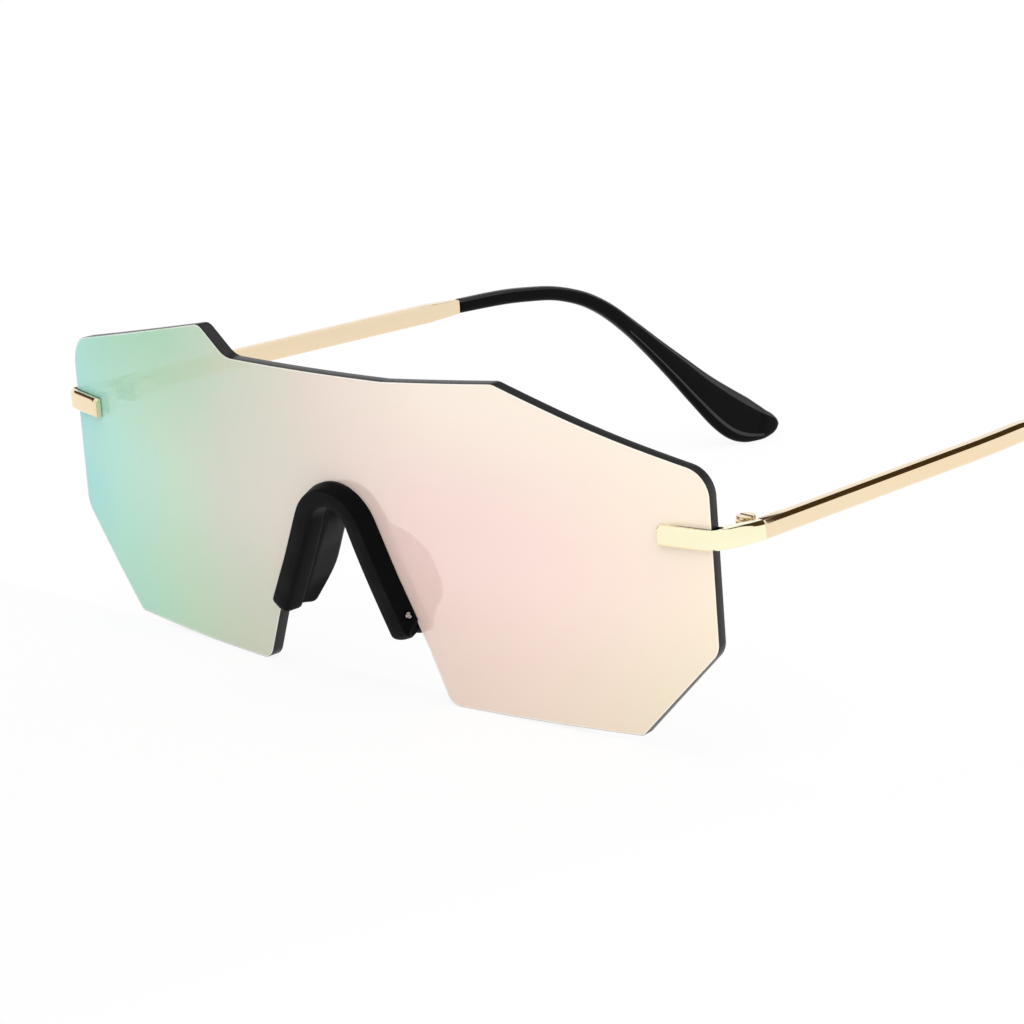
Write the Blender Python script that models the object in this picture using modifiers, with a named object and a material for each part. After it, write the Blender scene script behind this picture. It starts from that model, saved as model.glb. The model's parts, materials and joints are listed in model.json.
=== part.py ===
"""Rimless shield sunglasses: one mirrored lens, a clamped nose bridge and two folding temples.

X runs across the face, Y from the lens back along the temples, Z up. The glasses stand on a
table at Z = 0, open, on the lower edge of the lens and the ends of the temple tips. The left
side is the wearer's left, at +X. All sizes are in metres.
"""
import math

import bmesh
import bpy
from mathutils import Matrix, Vector

# Gaps between pieces that touch on the real object
FIT_GAP = 0.0003
HINGE_PLAY = 0.00025

# Lens: a flat outline, rolled onto an upright cylinder and leaned forward
LENS_RADIUS = 0.2918
LENS_THICKNESS = 0.00195
LENS_LEAN = math.radians(4.76)
LENS_BEVEL = 0.00025
LENS_SLICE = 0.0045
LENS_HALF_WIDTH = 0.0729
LENS_SIDE_LEAN = 0.0005
LENS_SIDE_FOOT = 0.0149
LENS_SIDE_HEIGHT = 0.0275
LENS_SIDE_ROUND = 0.0035
LENS_TOP_ROUND = 0.0065
CHIN_OUT = 0.0574
CHIN_RISE = 0.0004
CHIN_ROUND = 0.0012
PEAK_RISE = 0.0101
PEAK_ROUND = 0.0028
LEFT_PEAK_OUT = 0.0350
RIGHT_PEAK_OUT = 0.0311
STEP_RUN = 0.0064
STEP_DROP = 0.0043
STEP_ROUND = 0.0050
BROW_OUT = 0.0122
BROW_DROP = 0.0025
BROW_ROUND = 0.0150

# Notch for the nose: two straight limbs that run into a round apex
NOTCH_FOOT_OUT = 0.0207
NOTCH_FOOT_ROUND = 0.0028
KNEE_OUT = 0.0171
KNEE_HEIGHT = 0.0084
APEX_HEIGHT = 0.0315
APEX_RADIUS = 0.0080
APEX_STEPS = 14
LIMB_STEPS = 9

# Front bar of the bridge: its section is given inward from the notch edge and forward
BAR_FOOT_HEIGHT = 0.0108
BAR_WIDTH = 0.0038
BAR_APEX_SHARE = 0.70
BAR_DEPTH = 0.00305
BAR_LIP = 0.00050
BAR_LIP_THICKNESS = 0.0005
BAR_TUCK = 0.0005
BAR_TUCK_BEVEL = 0.0003
BAR_SIDE_BEVEL = 0.0006
BAR_CREST_SHARES = ((0.03, 0.77), (0.095, 0.94), (0.20, 0.98), (0.53, 1.0), (0.85, 0.98),
                    (0.96, 0.93), (1.0, 0.78))

# Nose saddle behind the bar, with both nose pads moulded on
SADDLE_FOOT_HEIGHT = 0.0108
SADDLE_WEB = 0.0025
SADDLE_LIP = 0.00035
SADDLE_LIP_THICKNESS = 0.00075
PAD_DEPTH = 0.0084
PAD_INSET = 0.00365
PAD_THICKNESS = 0.0017
# Height up the saddle, depth behind the lens and inset of the rear edge, as shares
PAD_SHARES = (
    (0.0, 0.50, 0.66), (0.10, 0.68, 0.54), (0.175, 0.90, 0.30), (0.264, 0.988, 0.22),
    (0.354, 1.0, 0.19), (0.448, 1.0, 0.165), (0.547, 0.94, 0.274), (0.665, 0.81, 0.52),
    (0.795, 0.56, 0.90), (1.0, 0.50, 0.93),
)
END_CAP_LENGTH = 0.0009
# Travel along the rounded end and the size left there, as shares
END_CAP_SHARES = ((0.0, 0.55), (0.35, 0.82), (1.0, 1.0))
# Pad wing's rear corner: how much of half the thickness is rounded away, and of that how far
# the rounded edge keeps from the full depth
PAD_ROUND_SHARE = 0.8
PAD_EDGE_SHARE = 0.5
PAD_LIFT_SHARE = 0.15

# Tabs of the saddle that plug into the feet of the bar, each held by a screw from the side
TAB_HEIGHT = 0.0136
TAB_INSET = 0.0009
TAB_THICKNESS = 0.0014
TAB_WIDTH = 0.0030
TAB_REACH = 0.00215
TAB_ROOT = 0.0006
BRIDGE_SCREW_FORWARD = 0.0013
BRIDGE_SCREW_SEAT = 0.0003
BRIDGE_SCREW_SHANK = 0.00025
BRIDGE_SCREW_LENGTH = 0.0030
BRIDGE_SCREW_HEAD = 0.0005
BRIDGE_SCREW_HEAD_HEIGHT = 0.00045

# End clips: a gold strip folded round each side edge of the lens
CLIP_LEVEL = 0.0324
CLIP_HEIGHT = 0.00315
CLIP_FALL = math.radians(4.16)
CLIP_FRONT_THICKNESS = 0.0011
CLIP_REAR_THICKNESS = 0.0010
CLIP_BAND = 0.0012
CLIP_FRONT_LENGTH = 0.0089
CLIP_REAR_LENGTH = 0.0074
CLIP_REACH = 0.0096
CLIP_ROUND = 0.0034
CLIP_TIP_ROUND = 0.0003
CLIP_BEVEL = 0.00025

# Screw and bushing that hold each clip to the lens
LENS_SCREW_INSET = 0.0046
LENS_SCREW_SHANK = 0.0006
LENS_SCREW_BITE = 0.0005
LENS_SCREW_HEAD = 0.0012
LENS_SCREW_HEAD_HEIGHT = 0.0007
BUSHING_WALL = 0.0004

# Hinge: two knuckles on the front leaf, one between them on the rear leaf, and a screw
HINGE_AHEAD = 0.00025
KNUCKLE_RADIUS = 0.0016
KNUCKLE_LOW = 0.0006
KNUCKLE_MIDDLE = 0.0007
KNUCKLE_TOP = 0.0006
HINGE_BASE = 0.0016
LEAF_THICKNESS = 0.0008
FRONT_LEAF_LENGTH = 0.0056
REAR_LEAF_LENGTH = 0.0070
HINGE_PIN_RADIUS = 0.0006
HINGE_HEAD_RADIUS = 0.0015
HINGE_HEAD_HEIGHT = 0.0005
SLOT_WIDTH = 0.0004
SLOT_DEPTH = 0.00025

# Temples
TEMPLE_RISE = math.radians(2.06)
TEMPLE_THICKNESS = 0.0020
TEMPLE_HEIGHT = 0.0031
TEMPLE_LENGTH = 0.06665
TEMPLE_INSET = 0.00655
TEMPLE_TOP_FACET = 0.00058
TEMPLE_LOW_FACET = 0.00045
TEMPLE_INNER_EDGE = 0.00015
TEMPLE_END_EDGE = 0.00025
TEMPLE_END_HEIGHT = 0.0023
TEMPLE_END_TAPER = 0.0060
WIRE_RADIUS = 0.0005
WIRE_REACH = 0.0450
WIRE_STEPS = 12
WIRE_SIDES = 8
TIP_RUN = 0.0724
TIP_THICKNESS = 0.0024
PADDLE_HEIGHT = 0.0080
TIP_END_LIFT = 0.0013
TIP_SQUARENESS = 2.7
TIP_SIDES = 16
TIP_SUBSTEPS = 2
TIP_SLOPE_STEP = 0.002
# Run along the tip, drop below its start, height and thickness of the section, as shares
TIP_SHARES = (
    (0.0, 0.002, 0.285, 0.94), (0.008, 0.002, 0.294, 1.0), (0.144, 0.018, 0.306, 1.0),
    (0.232, 0.040, 0.303, 1.0), (0.297, 0.063, 0.300, 1.0), (0.359, 0.101, 0.306, 1.0),
    (0.411, 0.146, 0.314, 1.0), (0.471, 0.219, 0.328, 1.0), (0.540, 0.328, 0.352, 1.0),
    (0.610, 0.451, 0.442, 0.98), (0.685, 0.586, 0.592, 0.96), (0.757, 0.718, 0.760, 0.93),
    (0.831, 0.845, 0.960, 0.92), (0.881, 0.917, 1.0, 0.91), (0.936, 0.968, 0.790, 0.88),
    (0.975, 0.993, 0.460, 0.74), (1.0, 1.0, 0.090, 0.34),
)

# Small helpers for cuts and corners
CUT_OVERRUN = 0.0010
ROUND_STEPS = 24
HOLE_STEPS = 20
CORNER_STEP = math.radians(12)
STRAIGHT_TURN = math.radians(1)
FLAT_TURN = math.radians(0.5)
CORNER_ROOM_SHARE = 0.48
SHARP_TURN = math.radians(35)
BEVEL_TURN = math.radians(50)
RIM_TURN = math.radians(60)
MERGE_DISTANCE = 0.000001
SLICE_DISTANCE = 0.0000001

SIDES = {"left": 1, "right": -1}


def clear_scene():
    for old in list(bpy.data.objects):
        bpy.data.objects.remove(old, do_unlink=True)


def make_collection(name):
    group = bpy.data.collections.new(name)
    bpy.context.scene.collection.children.link(group)
    return group


def finish(name, colour, roughness, metallic):
    """A Principled material."""
    material = bpy.data.materials.new(name)
    material.use_nodes = True
    shader = material.node_tree.nodes["Principled BSDF"]
    shader.inputs["Base Color"].default_value = (*colour, 1.0)
    shader.inputs["Roughness"].default_value = roughness
    shader.inputs["Metallic"].default_value = metallic
    material.diffuse_color = (*colour, 1.0)
    return material


def add_object(name, mesh, parent, placement, material):
    """One visible piece, with its own copy of a finish."""
    piece = bpy.data.objects.new(name, mesh)
    PIECES.objects.link(piece)
    own = material.copy()
    own.name = name + " finish"
    mesh.materials.clear()
    mesh.materials.append(own)
    mesh.shade_smooth()
    mesh.set_sharp_from_angle(angle=SHARP_TURN)
    piece.parent = parent
    piece.matrix_basis = placement
    return piece


def add_cutter(name, mesh, parent, placement):
    tool = bpy.data.objects.new(name, mesh)
    CUTTERS.objects.link(tool)
    tool.hide_render = True
    tool.display_type = "WIRE"
    tool.parent = parent
    tool.matrix_basis = placement
    return tool


def cut(piece, tool, operation="DIFFERENCE"):
    step = piece.modifiers.new("cut " + tool.name, "BOOLEAN")
    step.operation = operation
    step.solver = "EXACT"
    step.object = tool


def add_empty(name, parent, placement):
    marker = bpy.data.objects.new(name, None)
    PIECES.objects.link(marker)
    marker.parent = parent
    marker.matrix_basis = placement
    return marker


def cylinder(radius, low, high, sides=HOLE_STEPS):
    """A closed cylinder about Z from low to high."""
    shape = bmesh.new()
    bmesh.ops.create_cone(shape, cap_ends=True, segments=sides, radius1=radius,
                          radius2=radius, depth=high - low)
    bmesh.ops.translate(shape, verts=shape.verts, vec=(0, 0, (high + low) / 2))
    mesh = bpy.data.meshes.new("cylinder")
    shape.to_mesh(mesh)
    shape.free()
    return mesh


def block(width, depth, low, high):
    """A box centred on Z from low to high."""
    shape = bmesh.new()
    bmesh.ops.create_cube(shape, size=1)
    bmesh.ops.scale(shape, verts=shape.verts, vec=(width, depth, high - low))
    bmesh.ops.translate(shape, verts=shape.verts, vec=(0, 0, (high + low) / 2))
    mesh = bpy.data.meshes.new("block")
    shape.to_mesh(mesh)
    shape.free()
    return mesh


def turned(name, profile, closed, parent, placement, material):
    """A profile of (radius, height) points, outer side first, turned about Z."""
    mesh = bpy.data.meshes.new(name)
    points = [(radius, 0, height) for radius, height in profile]
    count = len(points)
    edges = [(i, i + 1) for i in range(count - 1)]
    if closed:
        edges.append((count - 1, 0))
    mesh.from_pydata(points, edges, [])
    piece = add_object(name, mesh, parent, placement, material)
    spin = piece.modifiers.new("turn", "SCREW")
    spin.axis = "Z"
    spin.steps = ROUND_STEPS
    spin.render_steps = ROUND_STEPS
    spin.use_merge_vertices = True
    spin.merge_threshold = MERGE_DISTANCE
    spin.use_smooth_shade = True
    return piece


def rounded(corners):
    """An outline with each corner (x, y, radius) replaced by an arc that fits its sides."""
    points = []
    count = len(corners)
    for i, (x, y, radius) in enumerate(corners):
        here = Vector((x, y))
        before = Vector(corners[i - 1][:2]) - here
        after = Vector(corners[(i + 1) % count][:2]) - here
        turn = math.pi - before.angle(after)
        if radius == 0 or turn < STRAIGHT_TURN:
            points.append((x, y))
            continue
        reach = radius * math.tan(turn / 2)
        room = min(before.length, after.length) * CORNER_ROOM_SHARE
        if reach > room:
            radius *= room / reach
            reach = room
        start = here + before.normalized() * reach
        end = here + after.normalized() * reach
        middle = (before.normalized() + after.normalized()).normalized()
        centre = here + middle * (radius / math.cos(turn / 2))
        steps = max(2, math.ceil(turn / CORNER_STEP))
        first = start - centre
        last = end - centre
        swing = first.angle_signed(last)
        for k in range(steps + 1):
            points.append(tuple(centre + Matrix.Rotation(-swing * k / steps, 2) @ first))
    return points


def circle(x, y, radius, steps=HOLE_STEPS):
    return [(x + radius * math.cos(math.tau * k / steps), y + radius * math.sin(math.tau * k / steps))
            for k in range(steps)]


def sheet(outlines, thickness):
    """A flat sheet in XY from closed outlines, holes included, centred on Z = 0."""
    curve = bpy.data.curves.new("outline", "CURVE")
    curve.dimensions = "2D"
    curve.fill_mode = "BOTH"
    curve.extrude = thickness / 2
    for outline in outlines:
        line = curve.splines.new("POLY")
        line.points.add(len(outline) - 1)
        for point, (x, y) in zip(line.points, outline):
            point.co = (x, y, 0, 1)
        line.use_cyclic_u = True
    guide = bpy.data.objects.new("outline", curve)
    CUTTERS.objects.link(guide)
    seen = guide.evaluated_get(bpy.context.evaluated_depsgraph_get())
    mesh = bpy.data.meshes.new_from_object(seen)
    bpy.data.objects.remove(guide, do_unlink=True)
    shape = bmesh.new()
    shape.from_mesh(mesh)
    bmesh.ops.remove_doubles(shape, verts=shape.verts, dist=MERGE_DISTANCE)
    bmesh.ops.dissolve_limit(shape, angle_limit=FLAT_TURN, verts=shape.verts,
                             edges=shape.edges)
    bmesh.ops.recalc_face_normals(shape, faces=shape.faces)
    shape.to_mesh(mesh)
    shape.free()
    mesh.materials.clear()
    return mesh


def loft(name, sections):
    """A closed solid through sections of equal point count."""
    shape = bmesh.new()
    rings = [[shape.verts.new(point) for point in section] for section in sections]
    size = len(rings[0])
    for one, two in zip(rings, rings[1:]):
        for k in range(size):
            shape.faces.new((one[k], one[(k + 1) % size], two[(k + 1) % size], two[k]))
    shape.faces.new(rings[0])
    shape.faces.new(rings[-1])
    bmesh.ops.recalc_face_normals(shape, faces=shape.faces)
    mesh = bpy.data.meshes.new(name)
    shape.to_mesh(mesh)
    shape.free()
    return mesh


def interpolate(table, position):
    """Smooth values at a position along a table whose first column rises."""
    last = len(table) - 1
    i = 0
    while i < last - 1 and table[i + 1][0] < position:
        i += 1
    a, b = table[i], table[i + 1]
    before = table[max(i - 1, 0)]
    after = table[min(i + 2, last)]
    span = b[0] - a[0]
    t = min(max((position - a[0]) / span, 0), 1)
    values = []
    for p, q, r, s in zip(before[1:], a[1:], b[1:], after[1:]):
        rise = (r - p) / (b[0] - before[0]) * span
        fall = (s - q) / (after[0] - a[0]) * span
        values.append((2 * t**3 - 3 * t**2 + 1) * q + (t**3 - 2 * t**2 + t) * rise
                      + (3 * t**2 - 2 * t**3) * r + (t**3 - t**2) * fall)
    return values


# Lens space: along the lens, up the lens, and forward from its front face

def flat_to_lens(along, forward):
    """A point of the upright cylinder in plan, before the lens leans."""
    angle = along / LENS_RADIUS
    radius = LENS_RADIUS + forward
    return radius * math.sin(angle), LENS_RADIUS - radius * math.cos(angle)


def on_lens(along, up, forward):
    across, back = flat_to_lens(along, forward)
    return Matrix.Rotation(LENS_LEAN, 3, "X") @ Vector((across, back, up))


def lens_frame(along, up, forward):
    """A placement on the lens: X along it, Y up it and Z straight out of its front."""
    angle = along / LENS_RADIUS
    tangent = Vector((math.cos(angle), math.sin(angle), 0))
    outward = Vector((math.sin(angle), -math.cos(angle), 0))
    axes = Matrix((tangent, Vector((0, 0, 1)), outward)).transposed()
    turn = Matrix.Rotation(LENS_LEAN, 3, "X") @ axes
    return Matrix.Translation(on_lens(along, up, forward)) @ turn.to_4x4()


# Notch path

def apex_tangent():
    """Angle, at the centre of the apex circle, where the straight limb meets it."""
    reach = Vector((KNEE_OUT, KNEE_HEIGHT - APEX_HEIGHT + APEX_RADIUS))
    swing = math.acos(APEX_RADIUS / reach.length)
    return math.atan2(reach.y, reach.x) + swing


def apex_point(angle):
    return (APEX_RADIUS * math.cos(angle),
            APEX_HEIGHT - APEX_RADIUS + APEX_RADIUS * math.sin(angle))


def limb_point(height):
    """Notch edge on the straight +X limb at a height, by the line from knee to tangent."""
    top = apex_point(apex_tangent())
    share = (height - KNEE_HEIGHT) / (top[1] - KNEE_HEIGHT)
    return KNEE_OUT + (top[0] - KNEE_OUT) * share, height


def bridge_path(foot):
    """Stations (along, up, inward along, inward up) from the +X foot over to the -X foot."""
    start = apex_tangent()
    limb = []
    low = limb_point(foot)
    high = apex_point(start)
    inward = (-math.cos(start), -math.sin(start))
    length = math.dist(low, high)
    direction = ((high[0] - low[0]) / length, (high[1] - low[1]) / length)
    runs = [END_CAP_LENGTH * travel for travel, size in END_CAP_SHARES]
    rest = length - runs[-1]
    runs += [runs[-1] + rest * k / LIMB_STEPS for k in range(1, LIMB_STEPS)]
    for run in runs:
        limb.append((low[0] + direction[0] * run, low[1] + direction[1] * run, *inward))
    arc = []
    for k in range(APEX_STEPS + 1):
        angle = start + (math.pi - 2 * start) * k / APEX_STEPS
        arc.append((*apex_point(angle), -math.cos(angle), -math.sin(angle)))
    mirrored = [(-s, h, -across, up) for s, h, across, up in reversed(limb)]
    return limb + arc + mirrored


def end_sizes(count):
    """How far each station's section is drawn in at the rounded feet."""
    sizes = [size for travel, size in END_CAP_SHARES]
    middle = count - 2 * len(sizes)
    return sizes + [1.0] * middle + sizes[::-1]


def sweep_on_lens(name, path, section_at):
    """Loft along the notch; section_at gives (inward, forward) points for a station."""
    sections = []
    for station, size in zip(path, end_sizes(len(path))):
        along, up, inward_along, inward_up = station
        points = section_at(station)
        centre_in = sum(p[0] for p in points) / len(points)
        centre_out = sum(p[1] for p in points) / len(points)
        ring = []
        for inward, forward in points:
            inward = centre_in + (inward - centre_in) * size
            forward = centre_out + (forward - centre_out) * size
            ring.append(on_lens(along + inward_along * inward, up + inward_up * inward, forward))
        sections.append(ring)
    return loft(name, sections)


# Pieces of the front

def lens_outline():
    side_top = LENS_SIDE_FOOT + LENS_SIDE_HEIGHT
    peak = side_top + PEAK_RISE
    top_out = LENS_HALF_WIDTH - LENS_SIDE_LEAN
    start = apex_tangent()
    corners = [
        (NOTCH_FOOT_OUT, 0, NOTCH_FOOT_ROUND),
        (CHIN_OUT, CHIN_RISE, CHIN_ROUND),
        (LENS_HALF_WIDTH, LENS_SIDE_FOOT, LENS_SIDE_ROUND),
        (top_out, side_top, LENS_TOP_ROUND),
        (LEFT_PEAK_OUT, peak, PEAK_ROUND),
        (BROW_OUT, peak - BROW_DROP, BROW_ROUND),
        (-(RIGHT_PEAK_OUT - STEP_RUN), peak - STEP_DROP, STEP_ROUND),
        (-RIGHT_PEAK_OUT, peak, PEAK_ROUND),
        (-top_out, side_top, LENS_TOP_ROUND),
        (-LENS_HALF_WIDTH, LENS_SIDE_FOOT, LENS_SIDE_ROUND),
        (-CHIN_OUT, CHIN_RISE, CHIN_ROUND),
        (-NOTCH_FOOT_OUT, 0, NOTCH_FOOT_ROUND),
        (-KNEE_OUT, KNEE_HEIGHT, 0),
    ]
    for k in range(APEX_STEPS + 1):
        angle = math.pi - start - (math.pi - 2 * start) * k / APEX_STEPS
        corners.append((*apex_point(angle), 0))
    corners.append((KNEE_OUT, KNEE_HEIGHT, 0))
    return rounded(corners)


def screw_along(side):
    """Place of the clip's screw along the lens."""
    return side * (LENS_HALF_WIDTH - LENS_SCREW_INSET)


def lens_hole_radius():
    return LENS_SCREW_SHANK + FIT_GAP + BUSHING_WALL + FIT_GAP


def make_lens(root):
    holes = [circle(screw_along(side), CLIP_LEVEL, lens_hole_radius()) for side in SIDES.values()]
    mesh = sheet([lens_outline(), *holes], LENS_THICKNESS)
    shape = bmesh.new()
    shape.from_mesh(mesh)
    rims = [edge for edge in shape.edges if edge.calc_face_angle(0) > RIM_TURN]
    bmesh.ops.bevel(shape, geom=rims, offset=LENS_BEVEL, segments=1, profile=0.5, affect="EDGES")
    slices = math.ceil(2 * LENS_HALF_WIDTH / LENS_SLICE)
    for k in range(1, slices):
        place = LENS_HALF_WIDTH * (2 * k / slices - 1)
        everything = shape.verts[:] + shape.edges[:] + shape.faces[:]
        bmesh.ops.bisect_plane(shape, geom=everything, dist=SLICE_DISTANCE, plane_co=(place, 0, 0),
                               plane_no=(1, 0, 0))
    bmesh.ops.triangulate(shape, faces=shape.faces)
    for vertex in shape.verts:
        s, h, z = vertex.co
        vertex.co = on_lens(s, h, z - LENS_THICKNESS / 2)
    shape.to_mesh(mesh)
    shape.free()
    return add_object("shield_lens", mesh, root, Matrix.Identity(4), MIRROR)


def bar_section(station):
    """Front bar: a lip on the lens, a steep flank, a flat crest and a tuck into the notch.

    The bar narrows towards the apex with the cube of the height.
    """
    share = (station[1] - BAR_FOOT_HEIGHT) / (APEX_HEIGHT - BAR_FOOT_HEIGHT)
    width = BAR_WIDTH * (1 - (1 - BAR_APEX_SHARE) * share**3)
    lip_top = FIT_GAP + BAR_LIP_THICKNESS
    crest = [(width * across, BAR_DEPTH * out) for across, out in BAR_CREST_SHARES]
    return [
        (-BAR_LIP, FIT_GAP), (-BAR_LIP, lip_top), *crest,
        (width, BAR_SIDE_BEVEL - BAR_TUCK), (width - BAR_TUCK_BEVEL, -BAR_TUCK),
        (FIT_GAP, -BAR_TUCK), (FIT_GAP, FIT_GAP),
    ]


def saddle_section(station):
    """Saddle: a web in the notch, a lip behind the lens and a wing back to the nose pad."""
    share = (station[1] - SADDLE_FOOT_HEIGHT) / (APEX_HEIGHT - SADDLE_FOOT_HEIGHT)
    depth_share, inset_share = interpolate(PAD_SHARES, share)
    depth = PAD_DEPTH * depth_share
    inset = PAD_INSET * inset_share
    half = PAD_THICKNESS / 2
    rounding = half * PAD_ROUND_SHARE
    edge = half * PAD_EDGE_SHARE
    lift = rounding * PAD_LIFT_SHARE
    lip_front = -(LENS_THICKNESS + FIT_GAP)
    lip_rear = lip_front - SADDLE_LIP_THICKNESS
    web_front = -(BAR_TUCK + FIT_GAP)
    return [
        (FIT_GAP, web_front),
        (SADDLE_WEB, web_front),
        (SADDLE_WEB + BAR_TUCK_BEVEL, lip_front),
        (inset + half, -depth + rounding),
        (inset + edge, -depth + lift),
        (inset - edge, -depth + lift),
        (inset - half, -depth + rounding),
        (FIT_GAP, lip_rear),
        (-SADDLE_LIP, lip_rear + BAR_TUCK_BEVEL),
        (-SADDLE_LIP, lip_front),
        (FIT_GAP, lip_front),
    ]


def tab_frame(side):
    """At a foot of the notch: X inward from its edge and Z forward."""
    along, up = limb_point(TAB_HEIGHT)
    tangent = apex_tangent()
    place = lens_frame(side * along, up, 0)
    inward = Vector((-side * math.cos(tangent), -math.sin(tangent), 0))
    forward = Vector((0, 0, 1))
    axes = Matrix((inward, forward.cross(inward), forward)).transposed()
    return place @ axes.to_4x4()


def make_bridge(root):
    bar = add_object("front_bridge", sweep_on_lens("bar", bridge_path(BAR_FOOT_HEIGHT), bar_section),
                     root, Matrix.Identity(4), BLACK)
    saddle = add_object("nose_saddle", sweep_on_lens("saddle", bridge_path(SADDLE_FOOT_HEIGHT),
                                                     saddle_section),
                        root, Matrix.Identity(4), BLACK)
    web_front = -(BAR_TUCK + FIT_GAP)
    for name, side in SIDES.items():
        foot = tab_frame(side)
        place = foot @ Matrix.Translation((TAB_INSET + TAB_THICKNESS / 2, 0, 0))
        tab = block(TAB_THICKNESS, TAB_WIDTH, web_front - TAB_ROOT, TAB_REACH)
        room = block(TAB_THICKNESS + 2 * FIT_GAP, TAB_WIDTH + 2 * FIT_GAP, -BAR_TUCK - CUT_OVERRUN,
                     TAB_REACH + FIT_GAP)
        cut(saddle, add_cutter(name + " tab", tab, root, place), "UNION")
        cut(bar, add_cutter(name + " tab room", room, root, place))
        head_low = BRIDGE_SCREW_SEAT - FIT_GAP
        axis = foot @ Matrix.Translation((head_low, 0, BRIDGE_SCREW_FORWARD))
        axis = axis @ Matrix.Rotation(-math.pi / 2, 4, "Y")
        through = cylinder(BRIDGE_SCREW_SHANK + FIT_GAP, -BRIDGE_SCREW_LENGTH - FIT_GAP, 0)
        drill = add_cutter(name + " bridge drill", through, root, axis)
        pocket = cylinder(BRIDGE_SCREW_HEAD + FIT_GAP, -FIT_GAP, BAR_LIP + CUT_OVERRUN)
        cut(bar, drill)
        cut(bar, add_cutter(name + " bridge sink", pocket, root, axis))
        cut(saddle, drill)
        make_screw(name + "_bridge_screw", BRIDGE_SCREW_SHANK, BRIDGE_SCREW_LENGTH,
                   BRIDGE_SCREW_HEAD, BRIDGE_SCREW_HEAD_HEIGHT, root, axis, STEEL)


def make_screw(name, shank, length, head, head_height, parent, placement, material):
    """A slotted screw with its shank down from Z = 0 and its head above."""
    profile = [(0, head_height), (head, head_height), (head, 0), (shank, 0), (shank, -length),
               (0, -length)]
    screw = turned(name, profile, False, parent, placement, material)
    slot = block(2 * head + CUT_OVERRUN, SLOT_WIDTH, head_height - SLOT_DEPTH,
                 head_height + CUT_OVERRUN)
    cut(screw, add_cutter(name + " slot", slot, parent, placement))
    return screw


# End clips and what holds them

def clip_outer():
    """Distance from the middle to the outer face of the clip and temple."""
    return flat_to_lens(LENS_HALF_WIDTH, 0)[0] + FIT_GAP + CLIP_BAND


def clip_end():
    """Distance back from the lens middle to the rear end of the clip, along the lean."""
    return flat_to_lens(LENS_HALF_WIDTH, 0)[1] + CLIP_REACH


def plan_at(across, forward):
    """Distance back, at a place across, of the lens face moved forward."""
    radius = LENS_RADIUS + forward
    return LENS_RADIUS - math.sqrt(radius**2 - across**2)


def clip_fall(back):
    """How far the strip lies below its level at a distance back, as it slants down the lean."""
    return (back - flat_to_lens(LENS_HALF_WIDTH, 0)[1]) * math.tan(CLIP_FALL)


def clip_outline(side):
    front_in = flat_to_lens(LENS_HALF_WIDTH - CLIP_FRONT_LENGTH, FIT_GAP)
    front_out = flat_to_lens(LENS_HALF_WIDTH - CLIP_FRONT_LENGTH, FIT_GAP + CLIP_FRONT_THICKNESS)
    behind = -(LENS_THICKNESS + FIT_GAP)
    rear_in = flat_to_lens(LENS_HALF_WIDTH - CLIP_REAR_LENGTH, behind)
    rear_out = flat_to_lens(LENS_HALF_WIDTH - CLIP_REAR_LENGTH, behind - CLIP_REAR_THICKNESS)
    outer = clip_outer()
    band = outer - CLIP_BAND
    inner = outer - TEMPLE_THICKNESS
    corners = [
        (*front_out, CLIP_TIP_ROUND),
        (outer, plan_at(outer, FIT_GAP + CLIP_FRONT_THICKNESS), CLIP_ROUND),
        (outer, clip_end(), 0),
        (inner, clip_end(), 0),
        (inner, plan_at(inner, behind - CLIP_REAR_THICKNESS), CLIP_TIP_ROUND),
        (*rear_out, CLIP_TIP_ROUND),
        (*rear_in, 0),
        (band, plan_at(band, behind), 0),
        (band, plan_at(band, FIT_GAP), 0),
        (*front_in, 0),
    ]
    return [(side * x, y) for x, y in rounded(corners)]


def make_clip(name, side, root):
    lean = Matrix.Rotation(LENS_LEAN, 4, "X")
    place = lean @ Matrix.Translation((0, 0, CLIP_LEVEL))
    strip = sheet([clip_outline(side)], CLIP_HEIGHT)
    for vertex in strip.vertices:
        vertex.co.z -= clip_fall(vertex.co.y)
    clip = add_object(name + "_end_clip", strip, root, place, GOLD)
    edge = clip.modifiers.new("soft edges", "BEVEL")
    edge.width = CLIP_BEVEL
    edge.segments = 2
    edge.limit_method = "ANGLE"
    edge.angle_limit = BEVEL_TURN
    axis = lens_frame(screw_along(side), CLIP_LEVEL, 0)
    behind = -(LENS_THICKNESS + FIT_GAP + CLIP_REAR_THICKNESS)
    bore = LENS_SCREW_SHANK + FIT_GAP
    tip = FIT_GAP + LENS_SCREW_BITE
    drill = cylinder(bore, behind - CUT_OVERRUN, tip + FIT_GAP)
    cut(clip, add_cutter(name + " clip drill", drill, root, axis))
    seat = Matrix.Translation((0, 0, behind - FIT_GAP)) @ Matrix.Rotation(math.pi, 4, "X")
    make_screw(name + "_lens_screw", LENS_SCREW_SHANK, tip - behind + FIT_GAP, LENS_SCREW_HEAD,
               LENS_SCREW_HEAD_HEIGHT, root, axis @ seat, GOLD)
    ring = [(bore + BUSHING_WALL, 0), (bore + BUSHING_WALL, -LENS_THICKNESS),
            (bore, -LENS_THICKNESS), (bore, 0)]
    turned(name + "_lens_bushing", ring, True, root, axis, CLEAR)


# Hinges and temples

def hinge_frame(side):
    """Placement of the hinge axis: Z up the axis and Y back along the temple."""
    across = clip_outer() - TEMPLE_THICKNESS - FIT_GAP - KNUCKLE_RADIUS
    back = clip_end() - HINGE_AHEAD
    plan = Vector((side * across, back, CLIP_LEVEL - clip_fall(back)))
    point = Matrix.Rotation(LENS_LEAN, 3, "X") @ plan
    return Matrix.Translation(point) @ Matrix.Rotation(TEMPLE_RISE, 4, "X")


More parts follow.
